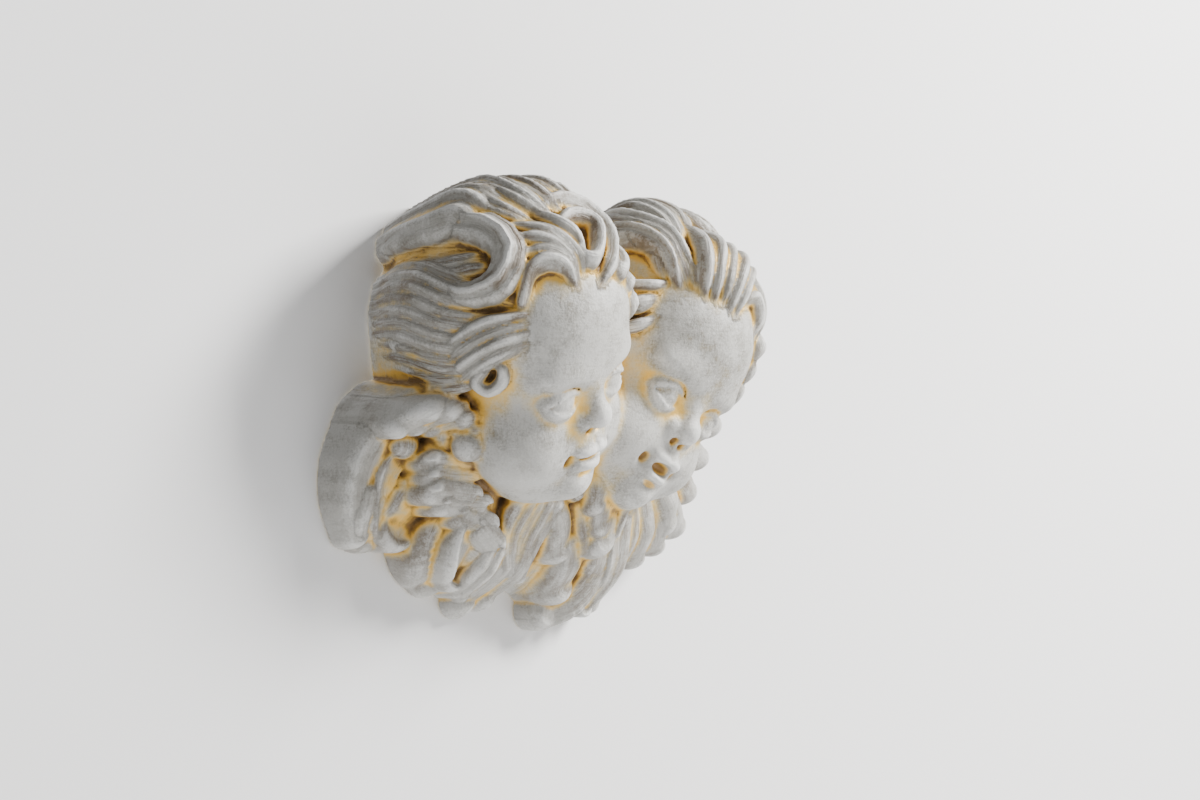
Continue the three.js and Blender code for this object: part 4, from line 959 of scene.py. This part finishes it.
class Nodes:
    def __init__(self, name):
        self.material = bpy.data.materials.new(name)
        self.material.use_nodes = True
        self.tree = self.material.node_tree
        self.tree.nodes.clear()

    def feed(self, slot, value):
        if isinstance(value, Value):
            self.tree.links.new(value.socket, slot)
        elif slot.type == "RGBA" and len(value) == 3:
            slot.default_value = (*value, 1)
        else:
            slot.default_value = value

    def add(self, kind, settings={}, output=0, **inputs):
        node = self.tree.nodes.new("ShaderNode" + kind)
        for key, value in settings.items():
            setattr(node, key, value)
        for key, value in inputs.items():
            self.feed(node.inputs[key.replace("_", " ")], value)
        return Value(self, node.outputs[output])

    def attribute(self, name, output="Fac"):
        return self.add("Attribute", {"attribute_name": name}, output)

    def noise(self, vector, scale, detail, roughness=0.55, distortion=0.0):
        look = dict(Scale=scale, Detail=detail, Roughness=roughness, Distortion=distortion)
        return self.add("TexNoise", {}, "Fac", Vector=vector, **look)

    def scaled(self, vector, scale):
        node = self.tree.nodes.new("ShaderNodeVectorMath")
        node.operation = "MULTIPLY"
        self.feed(node.inputs[0], vector)
        node.inputs[1].default_value = scale
        return Value(self, node.outputs[0])

    def mixed(self, share, first, second):
        node = self.tree.nodes.new("ShaderNodeMix")
        node.data_type = "RGBA"
        for slot, value in zip((node.inputs[0], node.inputs[6], node.inputs[7]), (share, first, second)):
            self.feed(slot, value)
        return Value(self, node.outputs[2])


def linear(*rgb):
    return tuple(c / 255 / 12.92 if c <= 10 else ((c / 255 + 0.055) / 1.055) ** 2.4 for c in rgb)


# the finish's colours, among them painted shade and a painted highlight
patinaShadeAndHighlight = {
    "skin": (194, 193, 188), "paint": (168, 166, 160), "markAndShadeGrey": (106, 100, 88), "high": (236, 236, 233),
    "glow": (226, 204, 148), "gold": (236, 190, 84), "ochre": (150, 112, 54), "brown": (98, 76, 48),
    "darkPatinaAndShade": (42, 31, 21), "back": (198, 193, 183),
}
paint = {name: linear(*rgb) for name, rgb in patinaShadeAndHighlight.items()}
# how deep a place sits, 0.5 on a flat one, where each coat starts and where it is full; some coats are partly
# painted shade in hollows or a painted highlight on ridges
depths = {
    "washAndHollowShade": (0.38, 0.54), "combed": (0.38, 0.56), "glow": (0.48, 0.58), "gilt": (0.53, 0.62),
    "gold": (0.54, 0.63), "lines": (0.56, 0.68), "strands": (0.6, 0.68), "ochre": (0.61, 0.7),
    "brown": (0.63, 0.73), "darkPatinaAndShade": (0.69, 0.8), "ridge": (0.45, 0.32),
}
sawnFrom = (-0.0008, -0.0001)              # metres from the wall plane, where the raw back begins
n = Nodes("patinaShadeAndHighlight")
place = n.add("TexCoord", output="Object")
tiny, fine, middle, broad = [n.attribute(name) for name in plaqueShape["creases"]]
hairy = n.attribute("hairy")
strand = n.attribute("strand", "Vector")

# clouds, mottling and grain, brush marks along locks and feathers, and dry brush drawn level and upright
cloud = n.noise(place, 26, 3)
mottle = n.noise(place, 120, 5, 0.62)
grain = n.noise(place, 900, 3, 0.7)
streak = n.noise(n.scaled(strand, (0.32, 0.035, 1)), 1.0, 4, 0.6, 0.6)
hairline = n.noise(n.scaled(strand, (1.3, 0.07, 1)), 1.0, 3, 0.6, 0.4)
level = n.noise(n.scaled(place, (150, 150, 1500)), 1.0, 3, 0.7)
upright = n.noise(n.scaled(place, (1400, 1400, 170)), 1.0, 3, 0.7)
drawn = level.most(upright) - 0.5

recess = fine * 0.35 + middle * 0.3 + broad * 0.35 + ((mottle - 0.5) * 0.16 + (cloud - 0.5) * 0.14)
crease = fine * 0.75 + middle * 0.25 + (mottle - 0.5) * 0.12
# how much a place stands out, for the white dry-brush and painted highlight on the ridges
ridge = fine * 0.6 + middle * 0.4 + (grain - 0.5) * 0.26 + (mottle - 0.5) * 0.16
# mottled grey wash; in the coat below it grows towards the hollows, and that growth is painted shade
washAndHollowShade = ((mottle - 0.42) * 2.4 + (grain - 0.5) * 2.2 + drawn * 1.8 + (cloud - 0.5) * 1.6).clamp()
marks = (streak - 0.47).ramp(0, 0.16) * hairy * (cloud * 1.5).clamp()
umber = (cloud - 0.46).ramp(0, 0.12) * (streak - 0.4).ramp(0, 0.14) * hairy
combing = (hairline - 0.48).ramp(0, 0.12) * hairy * broad.ramp(*depths["combed"])
gilt = (crease.ramp(*depths["gold"]) * 0.8).most(recess.ramp(*depths["gilt"])) * (cloud * 1.9).clamp()
ochre = (recess + hairy * streak * 0.08).ramp(*depths["ochre"])
strands = (recess + (hairline - 0.5) * hairy * 0.5).ramp(*depths["strands"]) * hairy
sawn = n.add("SeparateXYZ", output=1, Vector=place).ramp(*sawnFrom)

# the coats, one over the other, some of them partly painted shade in the hollows or a painted highlight on
# the ridges
coatsShadeAndHighlights = [
    # painted shade: the grey wash darkens a place more the deeper it sits
    (washAndHollowShade * (0.28 + recess.ramp(*depths["washAndHollowShade"]) * 0.6), "markAndShadeGrey"),
    (marks * 0.75, "markAndShadeGrey"),
    (umber * 0.5, "brown"),
    # white dry-brush on the high points, partly a painted highlight on the ridges
    (ridge.ramp(*depths["ridge"]) * (grain * 1.6).clamp() * 0.75, "high"),
    (combing * 0.8, "brown"),
    (recess.ramp(*depths["glow"]) * (cloud * 1.8).clamp() * 0.75, "glow"),
    (gilt, "gold"),
    (ochre * 0.75, "ochre"),
    (strands * 0.8, "brown"),
    (crease.ramp(*depths["brown"]) * 0.65, "brown"),
    (tiny.ramp(*depths["lines"]) * (1 - hairy) * 0.55, "ochre"),
    # dark patina in the deepest hollows, partly painted shade
    (recess.ramp(*depths["darkPatinaAndShade"]) * (0.5 + hairy * 0.45), "darkPatinaAndShade"),
]
colour = n.mixed(hairy, paint["skin"], paint["paint"])
for share, name in coatsShadeAndHighlights:
    colour = n.mixed(share, colour, paint[name])
colour = n.mixed(sawn, colour, n.mixed(mottle, paint["back"], paint["glow"]))

relief = grain * 0.35 + mottle * 0.5 + (hairline * 0.9 + streak * 1.1) * hairy
bumps = n.add("Bump", Height=relief, Strength=0.6, Distance=0.0012)
shader = n.add(
    "BsdfPrincipled", Base_Color=colour, Normal=bumps,
    Roughness=mottle * 0.2 + 0.42 - gilt * 0.08, Metallic=gilt * 0.3,
)
output = n.tree.nodes.new("ShaderNodeOutputMaterial")
n.feed(output.inputs[0], shader)
plaque.data.materials.clear()
plaque.data.materials.append(n.material)
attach(plaque, "root")
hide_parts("plaque")
report("patinaShadeAndHighlight")


# pale studio wall that is only seen from its front, pale floor, soft lights
studio = {"wall": 0.86, "floor": 0.8, "size": 8, "wallGap": 0.0006, "floorDrop": 0.55, "room": 0.31}


def flat(name, share, oneSided=False):
    m = Nodes(name)
    lit = m.add("BsdfPrincipled", Base_Color=(share, share, share * 1.005), Roughness=0.9)
    if oneSided:
        behind = m.add("NewGeometry", output="Backfacing")
        seen = m.add("LightPath", output="Is Camera Ray")
        clear = m.add("BsdfTransparent")
        node = m.tree.nodes.new("ShaderNodeMixShader")
        m.feed(node.inputs[0], seen * (1 - behind))
        m.feed(node.inputs[1], clear)
        m.feed(node.inputs[2], lit)
        lit = Value(m, node.outputs[0])
    m.feed(m.tree.nodes.new("ShaderNodeOutputMaterial").inputs[0], lit)
    return m.material


bpy.ops.mesh.primitive_plane_add(
    size=studio["size"], location=(0, studio["wallGap"], 0), rotation=(radians(90), 0, 0),
)
wall = bpy.context.object
wall.name = "studio_wall"
wall.data.materials.append(flat("studio_wall", studio["wall"], oneSided=True))
bpy.ops.mesh.primitive_plane_add(size=studio["size"], location=(0, 0, -studio["floorDrop"]))
floor = bpy.context.object
floor.name = "studio_floor"
floor.data.materials.append(flat("studio_floor", studio["floor"]))

lamps = {
    "key": dict(place=(1.15, -1.1, 0.95), size=0.65, power=112, tint=(1.0, 0.985, 0.96)),
    "fill": dict(place=(-1.2, -1.1, 0.3), size=1.4, power=4, tint=(0.95, 0.975, 1.0)),
    "back": dict(place=(0.5, 1.4, 0.8), size=1.4, power=12, tint=(1.0, 1.0, 1.0)),
}
lampAim = Vector((0, -0.03, 0))
for name, lamp in lamps.items():
    bpy.ops.object.light_add(type="AREA", location=lamp["place"])
    light = bpy.context.object
    light.name = name
    light.data.size = lamp["size"]
    light.data.energy = lamp["power"]
    light.data.color = lamp["tint"]
    light.rotation_euler = (light.location - lampAim).to_track_quat("Z", "Y").to_euler()
world = bpy.data.worlds.new("studio")
bpy.context.scene.world = world
world.use_nodes = True
world.node_tree.nodes["Background"].inputs[0].default_value = (1, 1, 1, 1)
world.node_tree.nodes["Background"].inputs[1].default_value = studio["room"]
report("studio")
